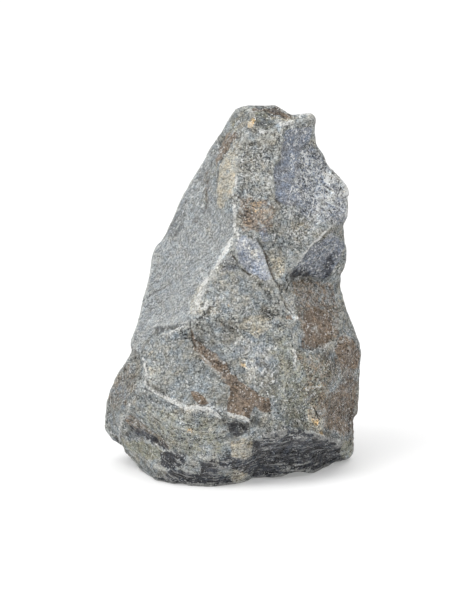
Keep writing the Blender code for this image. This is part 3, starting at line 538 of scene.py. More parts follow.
STROKES: tuple[Stroke, ...] = (
    ridge(0.85, (2.2, 156), (2.4, 150), (2.3, 144.5), height=0.19),
    ridge(0.85, (2.3, 146), (1.2, 138), (1.2, 130.5), (1, 125)),
    ridge(1, (0.8, 125.5), (-1, 122), (-3.5, 117.5), (-6, 113), (-8.5, 107.5), height=0.33, reach=1.15),
    ridge(0.68, (-8, 108.5), (-12.5, 101.5), (-14.5, 96.5), (-16.5, 90.5), (-19.5, 84.5), height=0.28),
    ridge(0.6, (-11, 107), (-15, 99.5), (-17.5, 93), (-18.5, 88)),
    ridge(0.8, (-11, 94), (-13, 91.5), (-15, 88.5), (-18.5, 86.5)),
    ridge(0.8, (1.5, 131), (2.8, 128), (2.8, 123), (2, 118)),
    ledge(1.35, 1, 6, 1, 0, (-3.8, 34.2), (-8, 37.5), (-11.5, 39.8), (-17.5, 40.2), (-22.5, 39.8),
        (-27, 41.8), (-31, 44.2), (-34.5, 46), (-38.5, 48), (-42.5, 51), (-43.8, 54.2)),
    ridge(0.8, (-44.7, 66), (-42.8, 58.7), (-41.9, 52.3), height=0.22, width=1.7),
    crack(0.8, 1.6, 0.35, (-3, 177), (-8, 168), (-11.5, 158), (-13, 145.5), (-13.5, 134)),
    ledge(0.9, 1.4, 5, 0.25, 0.3, (-2, 168), (-6, 159.5), (-7.5, 148), (-7.5, 137)),
    ridge(1, (-3, 36.5), (2, 35.2), (7, 34), (10, 32.5)),
    ridge(0.6, (-16, 87), (-12, 90), (-8.5, 93)),
    ridge(0.55, (-11, 86.5), (-5, 91.5)),
    ridge(0.65, (13.5, 54), (15.5, 58), (17, 62)),
    ridge(0.65, (25, 46.5), (27, 52)),
    crack(0.5, 0.6, 0.55, (20, 63), (18, 59), (15.5, 54.5)),
    ridge(0.6, (-46.9, 46.8), (-51, 41.4), (-55.5, 30.5), (-56.5, 25),
        (-55.5, 19.6), height=0.22, width=1.7),
    ledge(0.9, 1, 5, 0.45, 0, (-22, 15), (-30.1, 18.2), (-41, 23.2), (-53.8, 25)),
    ledge(1.2, 0.8, 5, 0.75, 0.3, (28.7, 107.2), (31.5, 109.7), (39, 118.8), (44.3, 124.8), (51.8, 130.8)),
    ledge(0.75, 0.8, 5, 0.45, 0, (51.5, 73.8), (47, 71), (40.7, 67.8), (34.8, 68.5)),
    ledge(0.9, 1, 6, 0.6, 0, (-21, 80.8), (-27.7, 79), (-33.5, 76.5)),
    ridge(0.6, (34.5, 48.7), (46.2, 50), width=1.2),
    ledge(0.75, 0.8, 4, 0.85, 0, (21.5, 181.8), (24, 179.8), (27.5, 180), (32, 182)),
    ridge(0.8, (30.8, 184.2), (36, 185.8), (41.2, 186)),
    ridge(0.85, (12.5, 177.5), (17.2, 175.5), height=0.22, width=1.5),
    ridge(0.6, (54.5, 150.5), (57.5, 147.5), (59, 145)),
    ridge(0.7, (30.5, 69.5), (32, 57.5)),
    ridge(0.45, (10, 178), (5.5, 173), (2, 167), (0, 162), height=0.22, width=1.7),
    ledge(0.75, 0.8, 4, 0.5, 0, (62, 76), (59, 74.5), (53, 76.5)),
    crack(0.7, 0.9, 0.55, (-48, 91), (-42.7, 93.5), (-38.5, 97.2), (-33.5, 99.7), (-29.3, 101.3)),
    crack(0.5, 0.6, 0.6, (-17.7, 112.2), (-11.8, 116.3)),
    crack(0.5, 0.6, 0.8, (-2.2, 115), (-1, 115.8), (0.7, 114.7), (2.2, 112.2), (4, 109.2)),
    crack(0.6, 0.7, 1, (3.5, 110), (6.5, 107), (9.8, 104.2)),
    ledge(0.9, 0.6, 3, 0.3, 1, (10.2, 103.7), (6.5, 106.5), (3.2, 109.2)),
    crack(1.2, 0.8, 1, (28.5, 106.8), (27.3, 103), (28.5, 101.3), (26.9, 96.3)),
    ledge(1.65, 0.7, 6, 0.15, 0.78, (31.5, 84.2), (29, 86.3), (25.7, 90.5), (24, 97.2), (21.5, 101.3),
        (19, 106.3), (17.8, 110.5), (16.5, 114.7), (14.8, 118.8), (12.3, 122.2), (6.5, 125.1)),
    crack(0.8, 0.9, 0.65, (-20.8, 85), (-20.8, 79), (-20.2, 74), (-17.5, 68)),
    ledge(1.2, 0.8, 4, 0.3, 0.8, (-18, 82.5), (-13.5, 86.5), (-10.2, 90.5), (-6, 94.7)),
    ledge(0.75, 0.6, 4, 0, 0.6, (0, 67), (-6.8, 73), (-14.3, 77.2), (-20.5, 80.8)),
    ledge(1.2, 1.4, 5, 0.15, 0.5, (-40.2, 76.5), (-37.7, 79.2), (-30.2, 80.2), (-21.5, 81)),
    crack(0.9, 0.8, 0.9, (39.9, 41.5), (42, 36.5), (44.4, 32.3)),
    crack(0.5, 0.6, 0.7, (44, 139), (46.5, 136.5), (46.5, 132)),
    ledge(0.9, 0.7, 5, 0.3, 0.3, (34.5, 138.5), (27, 140), (21.5, 141.5), (21, 148), (21, 159), (24.5, 167),
        (26.5, 177.5)),
    ledge(0.6, 0.7, 4, 0.2, 0.5, (13, 144), (7, 145.5), (2, 143.5)),
    ledge(1.35, 0.9, 5, 0.4, 0.3, (55.5, 22.5), (52, 23.7), (47, 25.5), (42.7, 27.1), (38.5, 28.2),
        (34.4, 29), (27.2, 29.5), (16.2, 26.8), (10, 23.5)),
    ledge(0.9, 0.8, 5, 0.2, 0.3, (15, 67), (18, 60), (16, 53), (19.5, 45)),
    ledge(0.75, 0.8, 5, 0.35, 0.2, (29, 40.5), (25.5, 49), (29, 57), (26.5, 64.5)),
    ridge(0.4, (56.5, 45.5), (54.5, 37), (52, 29), width=1.2),
    ridge(0.35, (59.5, 50.5), (58, 40.5), (56, 30.5), width=1.2),
    ledge(0.45, 0.7, 4, 0.1, 0.1, (38.5, 172), (33.5, 165), (33.5, 158.5), (30, 152), (34.5, 145.5)),
    ledge(0.75, 0.8, 4, 0.35, 0.2, (50.5, 93), (49, 97), (51, 101), (56, 103)),
    ledge(0.75, 0.8, 5, 0.3, 0.3, (-13.5, 39), (-7, 44), (-4, 47), (-1.5, 50.5)),
    ledge(0.75, 0.7, 4, 0.2, 0.4, (-17.5, 67), (-13.5, 61.5), (-7, 56), (-1.5, 50.5)),
    ledge(0.9, 0.8, 4, 0.3, 0.4, (-0.5, 57), (-4, 62.5), (-12, 68.5), (-19, 73)),
    ledge(1.05, 1, 5, 0.4, 0.5, (-36, 17), (-30, 18.5), (-24, 16)),
    ledge(0.9, 0.9, 4, 0.3, 0.5, (-1, 14.5), (5.5, 13.5), (11, 16)),
    ledge(0.75, 0.8, 4, 0.3, 0.3, (15, 87), (18, 93), (15, 99), (10, 103)),
    ledge(0.75, 0.9, 5, 0.25, 0.2, (38, 137), (42, 132), (39, 126), (33, 123)),
    ledge(0.75, 0.8, 4, 0.3, 0.2, (4, 170), (12, 172), (18, 168), (19, 161)),
    ledge(0.75, 0.8, 5, 0.3, 0.3, (-9.5, 112), (-11, 105), (-15, 98)),
)


@dataclass(frozen=True)
class Drawing:
    """The view in which the broad face is drawn, and how it lies on the stone."""

    rise: float = math.radians(15)
    ground_up: float = 12.1
    shift: Pair = (-0.28, 0.17)
    facing_range: Pair = (0.02, 0.2)

    def across_axis(self) -> np.ndarray:
        """The drawing's across direction in the part's frame."""
        return np.array([1.0, 0.0, 0.0])

    def up_axis(self) -> np.ndarray:
        """The drawing's up direction in the part's frame."""
        return np.array([0.0, math.sin(self.rise), math.cos(self.rise)])

    def toward_axis(self) -> np.ndarray:
        """The direction out of the drawing, towards who looks at it."""
        return np.array([0.0, -math.cos(self.rise), math.sin(self.rise)])

    def drawn(self, places: np.ndarray) -> np.ndarray:
        """Where places on the stone show in the drawing: across and up."""
        moved = places - np.array([*self.shift, 0.0])
        return np.column_stack([moved @ self.across_axis(), moved @ self.up_axis() + self.ground_up])

    def facing(self, normals: np.ndarray) -> np.ndarray:
        """How plainly each surface shows in the drawing, from 0 to 1."""
        return eased(normals @ self.toward_axis(), *self.facing_range)


@dataclass(frozen=True)
class RockNoise:
    """Repeatable solid noise from -1 to 1, worked out for many places at once."""

    seed: int
    gain: float = 1.4
    octave_shift: float = 31.7

    def values(self, corners: np.ndarray, salt: int = 0) -> np.ndarray:
        """A repeatable value for each whole-number corner."""
        mixed = np.full(len(corners), (self.seed * 7919 + salt * 104729) & 0xFFFFFFFF, np.uint32)
        for axis, prime in enumerate((73856093, 19349663, 83492791)):
            mixed ^= corners[:, axis].astype(np.int64).astype(np.uint32) * np.uint32(prime)
            mixed = (mixed ^ (mixed >> np.uint32(15))) * np.uint32(2246822519)
            mixed = (mixed ^ (mixed >> np.uint32(13))) * np.uint32(3266489917)
        return (mixed ^ (mixed >> np.uint32(16))) / 2147483647.5 - 1.0

    def soft(self, places: np.ndarray, size: float) -> np.ndarray:
        """Smooth noise with swells about one size apart."""
        grid = places / size
        corner = np.floor(grid)
        inside = grid - corner
        ease = inside**3 * (inside * (inside * 6 - 15) + 10)
        total = np.zeros(len(places))
        for step in np.ndindex(2, 2, 2):
            shift = np.array(step)
            lean = np.column_stack([self.values(corner + shift, salt) for salt in (1, 2, 3)])
            weight = np.prod(np.where(shift, ease, 1 - ease), axis=1)
            total += weight * np.einsum("ij,ij->i", lean, inside - shift)
        return np.clip(total * self.gain, -1, 1)

    def rough(self, places: np.ndarray, size: float, octaves: int) -> np.ndarray:
        """Smooth noise with finer and finer swells added, each half as strong."""
        total = np.zeros(len(places))
        for octave in range(octaves):
            shifted = places + self.octave_shift * octave
            total += 0.5**octave * self.soft(shifted, size / 2**octave)
        return total

    def faceted(self, places: np.ndarray, size: float, turned: np.ndarray) -> np.ndarray:
        """Broken relief: flat facets about one size across that meet in sharp creases."""
        grid = places @ turned.T / size
        corner = np.floor(grid)
        inside = grid - corner
        order = np.argsort(-inside, axis=1)
        shares = np.take_along_axis(inside, order, axis=1)
        rows = np.arange(len(places))
        total = (1 - shares[:, 0]) * self.values(corner)
        for step in range(3):
            corner[rows, order[:, step]] += 1
            after = shares[:, step + 1] if step < 2 else 0.0
            total += (shares[:, step] - after) * self.values(corner)
        return total


@dataclass(frozen=True)
class Breakage:
    """How the rock breaks: the size and height of its chips, and the run of its beds."""

    chips: Pairs = ((9.0, 0.62), (4.6, 0.4), (2.5, 0.24))
    back_chips: Pairs = ((26.0, 1.0), (14.0, 0.5))
    back_range: Pair = (-0.1, -0.5)
    back_offset: float = 40.0
    lump_size: float = 7.0
    lump_rise: float = 0.22
    slab_calm: float = 0.82
    smooth_calm: float = 0.6
    ledges: Pairs = ((3.1, 0.75), (1.7, 0.4))
    ledge_base: float = 0.4
    ledge_stagger: float = 0.37
    ledge_gap_shift: float = 17.0
    ledge_gap_size: float = 8.0
    ledge_gap_range: Pair = (-0.35, 0.35)
    bed_wander: Pair = (16.0, 1.6)
    bed_slopes: Pair = (0.72, -0.14)
    bed_bend: Pair = (-24.0, 12.0)
    grain_lean: Pair = (1.318, -0.00265)
    grain_wander: Pair = (14.0, 0.8)
    turns: tuple[Triple, ...] = ((0.5, 0.35, 0.8), (1.1, -0.4, 0.3), (0.2, 1.0, -0.6))

    def bed_level(self, places: np.ndarray, noise: RockNoise) -> np.ndarray:
        """The level of the bed that each place lies in: the beds dip from both sides into a trough."""
        left, right = self.bed_slopes
        trough, width = self.bed_bend
        size, rise = self.bed_wander
        across = places[:, 0] - trough
        dip = 0.5 * (left + right) * across - 0.5 * (left - right) * width * np.log(np.cosh(across / width))
        return places[:, 2] + dip + rise * noise.soft(places, size)

    def grain_level(self, places: np.ndarray, noise: RockNoise) -> np.ndarray:
        """The level across the long grain, which leans right and steepens upwards."""
        lean, steepening = self.grain_lean
        size, rise = self.grain_wander
        height = places[:, 2]
        return places[:, 0] - lean * height - steepening * height**2 + rise * noise.soft(places, size)

    def cleaved(self, places: np.ndarray, chips: Pairs, noise: RockNoise) -> np.ndarray:
        """Chips of each size, one cleavage after another."""
        total = np.zeros(len(places))
        for (size, rise), turn in zip(chips, self.turns):
            total += rise * noise.faceted(places, size, np.array(Euler(turn).to_matrix()))
        return total

    def chipped(self, places: np.ndarray, toward: np.ndarray, noise: RockNoise) -> np.ndarray:
        """Chips all over with low lumps under them, and broader cleavages behind.

        Args:
            places: Vertex places.
            toward: How far each vertex's normal leans towards who looks at the drawing.
            noise: The rock's noise.

        Returns:
            The height at each vertex.
        """
        total = self.lump_rise * noise.rough(places, self.lump_size, 3)
        total += self.cleaved(places, self.chips, noise)
        behind = self.cleaved(places + self.back_offset, self.back_chips, noise)
        return total + eased(toward, *self.back_range) * behind

    def bedded(self, places: np.ndarray, level: np.ndarray, noise: RockNoise) -> np.ndarray:
        """The broken edges of the beds, as small ledges that come and go."""
        total = np.zeros(len(places))
        for index, (spacing, rise) in enumerate(self.ledges):
            share = level / spacing + self.ledge_stagger * index
            share -= np.floor(share)
            gap = noise.soft(places + self.ledge_gap_shift * index, self.ledge_gap_size)
            gap = eased(gap, *self.ledge_gap_range)
            total += rise * (share**2 - self.ledge_base) * gap
        return total


def neighbour_mean(values: np.ndarray, edges: np.ndarray) -> np.ndarray:
    """The mean of each vertex's neighbours, for a value or a row of values at each vertex."""
    count = np.bincount(edges.ravel(), minlength=len(values)).astype(float)
    count = np.maximum(count, 1)
    columns = values.reshape(len(values), -1)
    means = np.empty_like(columns)
    for index, value in enumerate(columns.T):
        total = np.bincount(edges[:, 0], value[edges[:, 1]], len(values))
        total += np.bincount(edges[:, 1], value[edges[:, 0]], len(values))
        means[:, index] = total / count
    return means.reshape(values.shape)


def column(rows: bpy.types.bpy_prop_collection, name: str, width: int, kind: type) -> np.ndarray:
    """One of the values that every row of a mesh's vertices or edges has."""
    flat = np.empty(len(rows) * width, kind)
    rows.foreach_get(name, flat)
    return flat.reshape(-1, width)


@dataclass
class MeshTable:
    """A mesh's vertices as arrays, in millimetres."""

    mesh: bpy.types.Mesh

    def places(self) -> np.ndarray:
        """Every vertex's place."""
        return column(self.mesh.vertices, "co", 3, np.float32).astype(float) / MM

    def normals(self) -> np.ndarray:
        """Every vertex's outward direction."""
        return column(self.mesh.vertices, "normal", 3, np.float32).astype(float)

    def edges(self) -> np.ndarray:
        """Every edge's two vertices."""
        return column(self.mesh.edges, "vertices", 2, np.int32)

    def move_to(self, places: np.ndarray) -> None:
        """Moves every vertex to its new place."""
        self.mesh.vertices.foreach_set("co", (places * MM).astype(np.float32).ravel())
        self.mesh.update()

    def keep(self, name: str, values: np.ndarray) -> None:
        """Stores a value at every vertex, for the material to read."""
        stored = self.mesh.attributes.get(name)
        if stored is None:
            stored = self.mesh.attributes.new(name, "FLOAT", "POINT")
        stored.data.foreach_set("value", values.astype(np.float32))


def placed(name: str, data: bpy.types.ID) -> bpy.types.Object:
    """A new object in the scene."""
    made = bpy.data.objects.new(name, data)
    bpy.context.scene.collection.objects.link(made)
    return made


@dataclass
class StoneSkin:
    """The stone's visible surface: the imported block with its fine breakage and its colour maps."""

    node: str = "stone"
    name: str = "stone-skin"
    mesh_size: float = 0.69
    softening: int = 5
    edge_softness: float = 0.5
    snap_distance: float = 0.4
    snap_facing: float = 0.5
    most_snap_slope: float = 0.3
    triangles: int = 196_000
    foot_fade: Pair = (0.2, 2.5)
    foot_spreads: tuple[Triple, ...] = ((-36.0, 13.0, 7.0), (32.0, 17.0, 7.0))
    foot_spread_top: float = 0.3
    foot_spread_height: Pair = (16.0, 4.0)
    foot_spread_depth: Pair = (4.0, -8.0)
    back_start: Pair = (-0.05, -0.25)
    back_bed_heights: Pair = (30.0, 12.0)
    # Worn pale edges where the surface stands out, and painted shade in the hollows where it lies in.
    wear_and_shade_rounds: int = 14
    wear_and_shade_height: float = 0.16
    stroke_colour_width: float = 0.95
    warp_shifts: Pair = (5.3, 9.1)
    edge_warps: Pairs = ((5.0, 0.9), (2.0, 0.45))
    stroke_warps: Pairs = ((6.0, 0.55), (2.2, 0.3))
    stroke_break: Triple = (1.0, 3.2, 0.6)
    ink_break: Triple = (1.2, 3.5, 0.8)
    break_base: float = 0.3
    least_left: float = 0.1
    ink_offset: float = 9.0
    layer_offset: float = 57.0
    back_patch_sizes: dict[Layer, Triple] = field(
        default_factory=lambda: {
            Layer.RUST: (34.0, 0.22, 0.7),
            Layer.OCHRE: (18.0, 0.36, 0.8),
            Layer.OLIVE: (36.0, 0.1, 0.7),
            Layer.SLATE: (34.0, 0.18, 0.8),
            Layer.PALE: (12.0, 0.55, 1.0),
            Layer.DARK: (26.0, 0.55, 0.95),
            Layer.SPECK: (24.0, 0.1, 0.6),
            Layer.SHADE: (38.0, 0.2, 0.8),
            Layer.LIGHT: (32.0, 0.2, 0.8),
            Layer.SLAB: (44.0, 0.0, 0.3),
            Layer.SMOOTH: (34.0, 0.0, 0.4),
        }
    )
    drawing: Drawing = Drawing()
    breakage: Breakage = Breakage()
    noise: RockNoise = RockNoise(11)

    def evaluated(self, piece: bpy.types.Object) -> None:
        """Makes the object's evaluated shape its own mesh."""
        graph = bpy.context.evaluated_depsgraph_get()
        graph.update()
        shaped = bpy.data.meshes.new_from_object(piece.evaluated_get(graph))
        piece.modifiers.clear()
        piece.data = shaped

    def fine_block(self) -> bpy.types.Object:
        """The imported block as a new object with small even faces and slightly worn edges."""
        piece = placed(self.name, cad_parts[self.node].data.copy())
        even = piece.modifiers.new("even mesh", "REMESH")
        even.mode = "VOXEL"
        even.voxel_size = self.mesh_size * MM
        worn = piece.modifiers.new("worn edges", "SMOOTH")
        worn.factor = self.edge_softness
        worn.iterations = self.softening
        self.evaluated(piece)
        return piece

    def foot_forward(self, places: np.ndarray) -> np.ndarray:
        """The places with the foot's lower rim brought forward where the rock spreads on the ground."""
        forward = np.zeros(len(places))
        for middle, half_width, reach in self.foot_spreads:
            top = self.foot_spread_top * half_width
            forward += reach * eased(np.abs(places[:, 0] - middle), half_width, top)
        low = eased(places[:, 2], *self.foot_spread_height)
        forward *= low * eased(places[:, 1], *self.foot_spread_depth)
        return places - np.outer(forward, (0.0, 1.0, 0.0))

    def snapped(self, places: np.ndarray, normals: np.ndarray, facing: np.ndarray) -> np.ndarray:
        """Slides the vertices beside each stroke along the surface onto it, so that it reads sharp.

        Args:
            places: Vertex places.
            normals: Vertex normals.
            facing: How plainly each vertex shows in the drawing.

        Returns:
            The new places.
        """
        drawn = self.warped(places, self.drawing.drawn(places), self.stroke_warps)
        slide = np.zeros_like(drawn)
        closest = np.full(len(places), self.snap_distance)
        for stroke in STROKES:
            run = np.array(stroke.run)
            near = np.nonzero(near_points(drawn, run, 1) & (facing > self.snap_facing))[0]
            if not len(near):
                continue
            nearest, _, _ = nearest_on_run(drawn[near], run)
            offset = nearest - drawn[near]
            distance = np.hypot(*offset.T)
            closer = distance < closest[near]
            slide[near[closer]] = offset[closer]
            closest[near[closer]] = distance[closer]
        toward = self.drawing.toward_axis()
        level = np.outer(slide[:, 0], self.drawing.across_axis())
        level += np.outer(slide[:, 1], self.drawing.up_axis())
        slope = np.maximum(normals @ toward, self.most_snap_slope)
        depth = -np.einsum("ij,ij->i", level, normals) / slope
        return places + level + np.outer(depth, toward)

    def warped(self, places: np.ndarray, drawn: np.ndarray, warps: Pairs) -> np.ndarray:
        """Drawn points moved a little by noise, so that drawn outlines and lines come out natural."""
        moved = drawn.copy()
        across, up = self.warp_shifts
        for index, (size, reach) in enumerate(warps):
            moved[:, 0] += reach * self.noise.soft(places + across + index, size)
            moved[:, 1] += reach * self.noise.soft(places - up - index, size)
        return moved

    def layers(self, places: np.ndarray, drawn: np.ndarray, facing: np.ndarray) -> dict[Layer, np.ndarray]:
        """How strongly each layer covers each vertex: drawn in front, and from noise behind."""
        warped = self.warped(places, drawn, self.edge_warps)
        covers = {layer: np.zeros(len(places)) for layer in Layer}
        for patch in PATCHES:
            covers[patch.layer] = np.maximum(covers[patch.layer], patch.coverage(warped))
        for layer in Layer:
            behind = np.zeros(len(places))
            if layer in self.back_patch_sizes:
                size, start, end = self.back_patch_sizes[layer]
                offset = self.layer_offset * (1 + list(Layer).index(layer))
                behind = eased(self.noise.rough(places + offset, size, 3), start, end)
            covers[layer] = facing * covers[layer] + (1 - facing) * behind
        low = eased(places[:, 2], *self.back_bed_heights)
        covers[Layer.BEDS] = np.maximum(covers[Layer.BEDS], (1 - facing) * low)
        return covers

    def unbroken(self, places: np.ndarray, level: float, size: float, depth: float) -> np.ndarray:
        """How much of the strokes is left at each place, where noise breaks them up."""
        broken = depth * (self.break_base + self.noise.rough(places, size, 2))
        return np.clip(level - broken, self.least_left, 1.0)

    def strokes(self, places: np.ndarray, drawn: np.ndarray, facing: np.ndarray) -> dict[str, np.ndarray]:
        """The strokes' relief, pale edges, dark ink (dirt, and painted shadow under ledges), and the paler
        and darker ground beside ledges (wear and dirt, and painted light and shade), at each vertex.
        """
        made = {name: np.zeros(len(drawn)) for name in ("relief", *STROKE_MAPS)}
        drawn = self.warped(places, drawn, self.stroke_warps)
        whole = facing * self.unbroken(places, *self.stroke_break)
        inked = facing * self.unbroken(places + self.ink_offset, *self.ink_break)
        for stroke in STROKES:
            run = np.array(stroke.run)
            near = np.nonzero(near_points(drawn, run, stroke.margin()) & (facing > 0))[0]
            if not len(near):
                continue
            nearest, side, along = nearest_on_run(drawn[near], run)
            offset = side * np.hypot(*(drawn[near] - nearest).T)
            taper = stroke.taper(along)
            made["relief"][near] += whole[near] * taper * stroke.profile(offset)
            share = inked[near] * taper
            inks = stroke.ink(offset, self.stroke_colour_width)
            made["ledge"][near] += share * inks["ledge"]
            for name in ("line", "crack"):
                made[name][near] = np.maximum(made[name][near], share * inks[name])
        return made

    def carve(self, piece: bpy.types.Object) -> None:
        """Gives the fine block its chips, beds and strokes, and stores the colour maps."""
        table = MeshTable(piece.data)
        places, normals = table.places(), table.normals()
        facing = self.drawing.facing(normals)
        places = self.snapped(self.foot_forward(places), normals, facing)
        drawn = self.drawing.drawn(places)
        covers = self.layers(places, drawn, facing)
        marks = self.strokes(places, drawn, facing)
        breakage, noise = self.breakage, self.noise
        bed = breakage.bed_level(places, noise)
        slab, smooth = covers[Layer.SLAB], covers[Layer.SMOOTH]
        calm = np.maximum(breakage.slab_calm * slab, breakage.smooth_calm * smooth)
        relief = (1 - calm) * breakage.chipped(places, normals @ self.drawing.toward_axis(), noise)
        relief += covers[Layer.BEDS] * breakage.bedded(places, bed, noise)
        relief += marks["relief"]
        relief *= eased(places[:, 2], *self.foot_fade)
        for layer, cover in covers.items():
            table.keep(layer.value, cover)
        for name in STROKE_MAPS:
            table.keep(name, marks[name])
        table.keep("bed_level", bed)
        table.keep("grain_level", breakage.grain_level(places, noise))
        moved = places + normals * relief[:, None]
        moved[:, 2] = np.maximum(moved[:, 2], 0.0)
        table.move_to(moved)

    def thin_back(self, piece: bpy.types.Object) -> None:
        """Leaves fewer, larger faces behind, where there are no fine marks."""
        table = MeshTable(piece.data)
        behind = eased(table.normals() @ self.drawing.toward_axis(), *self.back_start)
        group = piece.vertex_groups.new(name="behind")
        for weight in (1.0, 0.5):
            chosen = np.nonzero((behind > weight - 0.5) & (behind <= weight))[0]
            group.add(chosen.tolist(), weight, "REPLACE")
        whole = sum(len(face.vertices) - 2 for face in piece.data.polygons)
        if whole > self.triangles:
            thinning = piece.modifiers.new("thinning", "DECIMATE")
            thinning.vertex_group = group.name
            thinning.ratio = self.triangles / whole
            self.evaluated(piece)
        piece.vertex_groups.clear()

    def find_wear_and_shade(self, piece: bpy.types.Object) -> None:
        """Stores where the surface stands out and wears pale, and where it lies in and gets painted shade.

        Before that, it sets the foot back on the ground, because thinning may sink it a little.
        """
        table = MeshTable(piece.data)
        places, edges = table.places(), table.edges()
        places[:, 2] = np.maximum(places[:, 2], 0.0)
        table.move_to(places)
        worn = places
        for _ in range(self.wear_and_shade_rounds):
            worn = 0.5 * worn + 0.5 * neighbour_mean(worn, edges)
        stands = np.einsum("ij,ij->i", places - worn, table.normals())
        table.keep("wear", np.clip(stands / self.wear_and_shade_height, 0, 1))
        # Where the surface lies in: painted shade in the hollows.
        table.keep("hollow", np.clip(-stands / self.wear_and_shade_height, 0, 1))

    def build(self, material: bpy.types.Material) -> bpy.types.Object:
        """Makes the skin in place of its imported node.

        Args:
            material: The rock's material.

        Returns:
            The finished piece, riding on the stone's body.
        """
        piece = self.fine_block()
        self.carve(piece)
        self.thin_back(piece)
        self.find_wear_and_shade(piece)
        piece.data.materials.clear()
        piece.data.materials.append(material)
        piece.data.shade_smooth()
        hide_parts(self.node)
        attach(piece, "root")
        faces, vertices = len(piece.data.polygons), len(piece.data.vertices)
        LOG.info("%s: %d vertices, %d faces", piece.name, vertices, faces)
        return piece


class Bench:
    """Places nodes in one tree and joins them."""

    def __init__(self, tree: bpy.types.NodeTree) -> None:
        """Takes the tree to work in."""
        self.tree = tree

    def node(self, kind: str, **settings: object) -> bpy.types.Node:
        """Adds a node and gives it its settings."""
        made = self.tree.nodes.new(kind)
        for name, value in settings.items():
            setattr(made, name, value)
        return made

    def join(self, value: Value, socket: Socket) -> None:
        """Links a socket to this one, or sets this one to a number, vector or colour."""
        if isinstance(value, Socket):
            self.tree.links.new(value, socket)
        else:
            socket.default_value = value

    def joined(self, made: bpy.types.Node, *values: Value) -> bpy.types.Node:
        """The node, with values joined to its first inputs in order."""
        for value, socket in zip(values, made.inputs):
            self.join(value, socket)
        return made

    def calc(self, operation: str, *values: Value) -> Socket:
        """One step of arithmetic on numbers."""
        return self.joined(self.node("ShaderNodeMath", operation=operation), *values).outputs["Value"]

    def times(self, first: Value, second: Value) -> Socket:
        """The product of two numbers."""
        return self.calc("MULTIPLY", first, second)

    def plus(self, first: Value, second: Value) -> Socket:
        """The sum of two numbers."""
        return self.calc("ADD", first, second)

    def plus_times(self, base: Value, first: Value, second: Value) -> Socket:
        """A number with the product of two others added to it."""
        return self.calc("MULTIPLY_ADD", first, second, base)

    def highest(self, *values: Value) -> Socket:
        """The highest of some numbers."""
        top, *rest = values
        for value in rest:
            top = self.calc("MAXIMUM", top, value)
        return top

    def vectors(self, operation: str, *values: Value) -> bpy.types.Node:
        """One step of arithmetic on vectors."""
        return self.joined(self.node("ShaderNodeVectorMath", operation=operation), *values)

    def vector(self, x: Value, y: Value, z: Value) -> Socket:
        """A vector from three numbers."""
        return self.joined(self.node("ShaderNodeCombineXYZ"), x, y, z).outputs["Vector"]

    def parts(self, vector: Value) -> tuple[Socket, ...]:
        """The three numbers of a vector."""
        return tuple(self.joined(self.node("ShaderNodeSeparateXYZ"), vector).outputs)

    def scaled(self, vector: Value, by: Value) -> Socket:
        """A vector or colour times a number."""
        made = self.vectors("SCALE", vector)
        self.join(by, made.inputs["Scale"])
        return made.outputs["Vector"]

    def shifted(self, place: Value, by: Triple) -> Socket:
        """A place moved by a fixed step, so that two noises differ."""
        return self.vectors("ADD", place, by).outputs["Vector"]

    def stretched(self, place: Value, along: Triple, share: float) -> Socket:
        """A place pressed together along one direction, so that a pattern there comes out long."""
        dot = self.vectors("DOT_PRODUCT", place, along).outputs["Value"]
        back = self.scaled(along, self.times(dot, -share))
        return self.vectors("ADD", place, back).outputs["Vector"]

    def texture(self, kind: str, place: Value, size: Value) -> bpy.types.Node:
        """A solid pattern at a place, with its features about one size apart."""
        made = self.node(kind)
        self.join(place, made.inputs["Vector"])
        scale = 1 / size if isinstance(size, float) else self.calc("DIVIDE", 1.0, size)
        self.join(scale, made.inputs["Scale"])
        return made

    def noise(self, place: Value, size: Value, detail: float = 2.0, roughness: float = 0.5,
              distortion: float = 0.0) -> Socket:
        """Smooth noise from 0 to 1, centred on a half, with swells about one size apart."""
        made = self.texture("ShaderNodeTexNoise", place, size)
        made.inputs["Detail"].default_value = detail
        made.inputs["Roughness"].default_value = roughness
        made.inputs["Distortion"].default_value = distortion
        return made.outputs[0]

    def cells(self, place: Value, size: Value) -> tuple[Socket, Socket]:
        """Crystals about one size across: each one's own value, and the distance from its middle."""
        made = self.texture("ShaderNodeTexVoronoi", place, size)
        split = self.joined(self.node("ShaderNodeSeparateColor"), made.outputs["Color"])
        return split.outputs[0], made.outputs["Distance"]

    def fit(self, value: Value, start: Value, end: Value, low: Value = 0.0, high: Value = 1.0,
            eased_ends: bool = True) -> Socket:
        """Maps start to end onto low to high, and holds what lies outside."""
        kind = "SMOOTHSTEP" if eased_ends else "LINEAR"
        made = self.node("ShaderNodeMapRange", interpolation_type=kind)
        return self.joined(made, value, start, end, low, high).outputs["Result"]

    def spread(self, value: Value, start: float = 0.0, end: float = 1.0) -> Socket:
        """Maps start to end evenly onto -1 to 1, and holds what lies outside."""
        return self.fit(value, start, end, -1.0, 1.0, False)

    def blend(self, share: Value, first: Value, second: Value, kind: str = "MIX") -> Socket:
        """A blend of two colours."""
        made = self.node("ShaderNodeMix", data_type="RGBA", blend_type=kind, clamp_result=False)
        for value, index in ((share, 0), (first, 6), (second, 7)):
            self.join(value, made.inputs[index])
        return made.outputs[2]

    def blend_values(self, share: Value, first: Value, second: Value) -> Socket:
        """A number part way from the first to the second."""
        return self.plus_times(first, share, self.calc("SUBTRACT", second, first))

    def stored(self, name: str) -> Socket:
        """A value that the mesh stores at its vertices."""
        return self.node("ShaderNodeAttribute", attribute_name=name).outputs["Fac"]

    def group(self, tree: bpy.types.NodeTree, **values: Value) -> bpy.types.Node:
        """Places a node group and joins its named inputs."""
        made = self.node("ShaderNodeGroup", node_tree=tree)
        for name, value in values.items():
            self.join(value, made.inputs[name.replace("_", " ").title()])
        return made


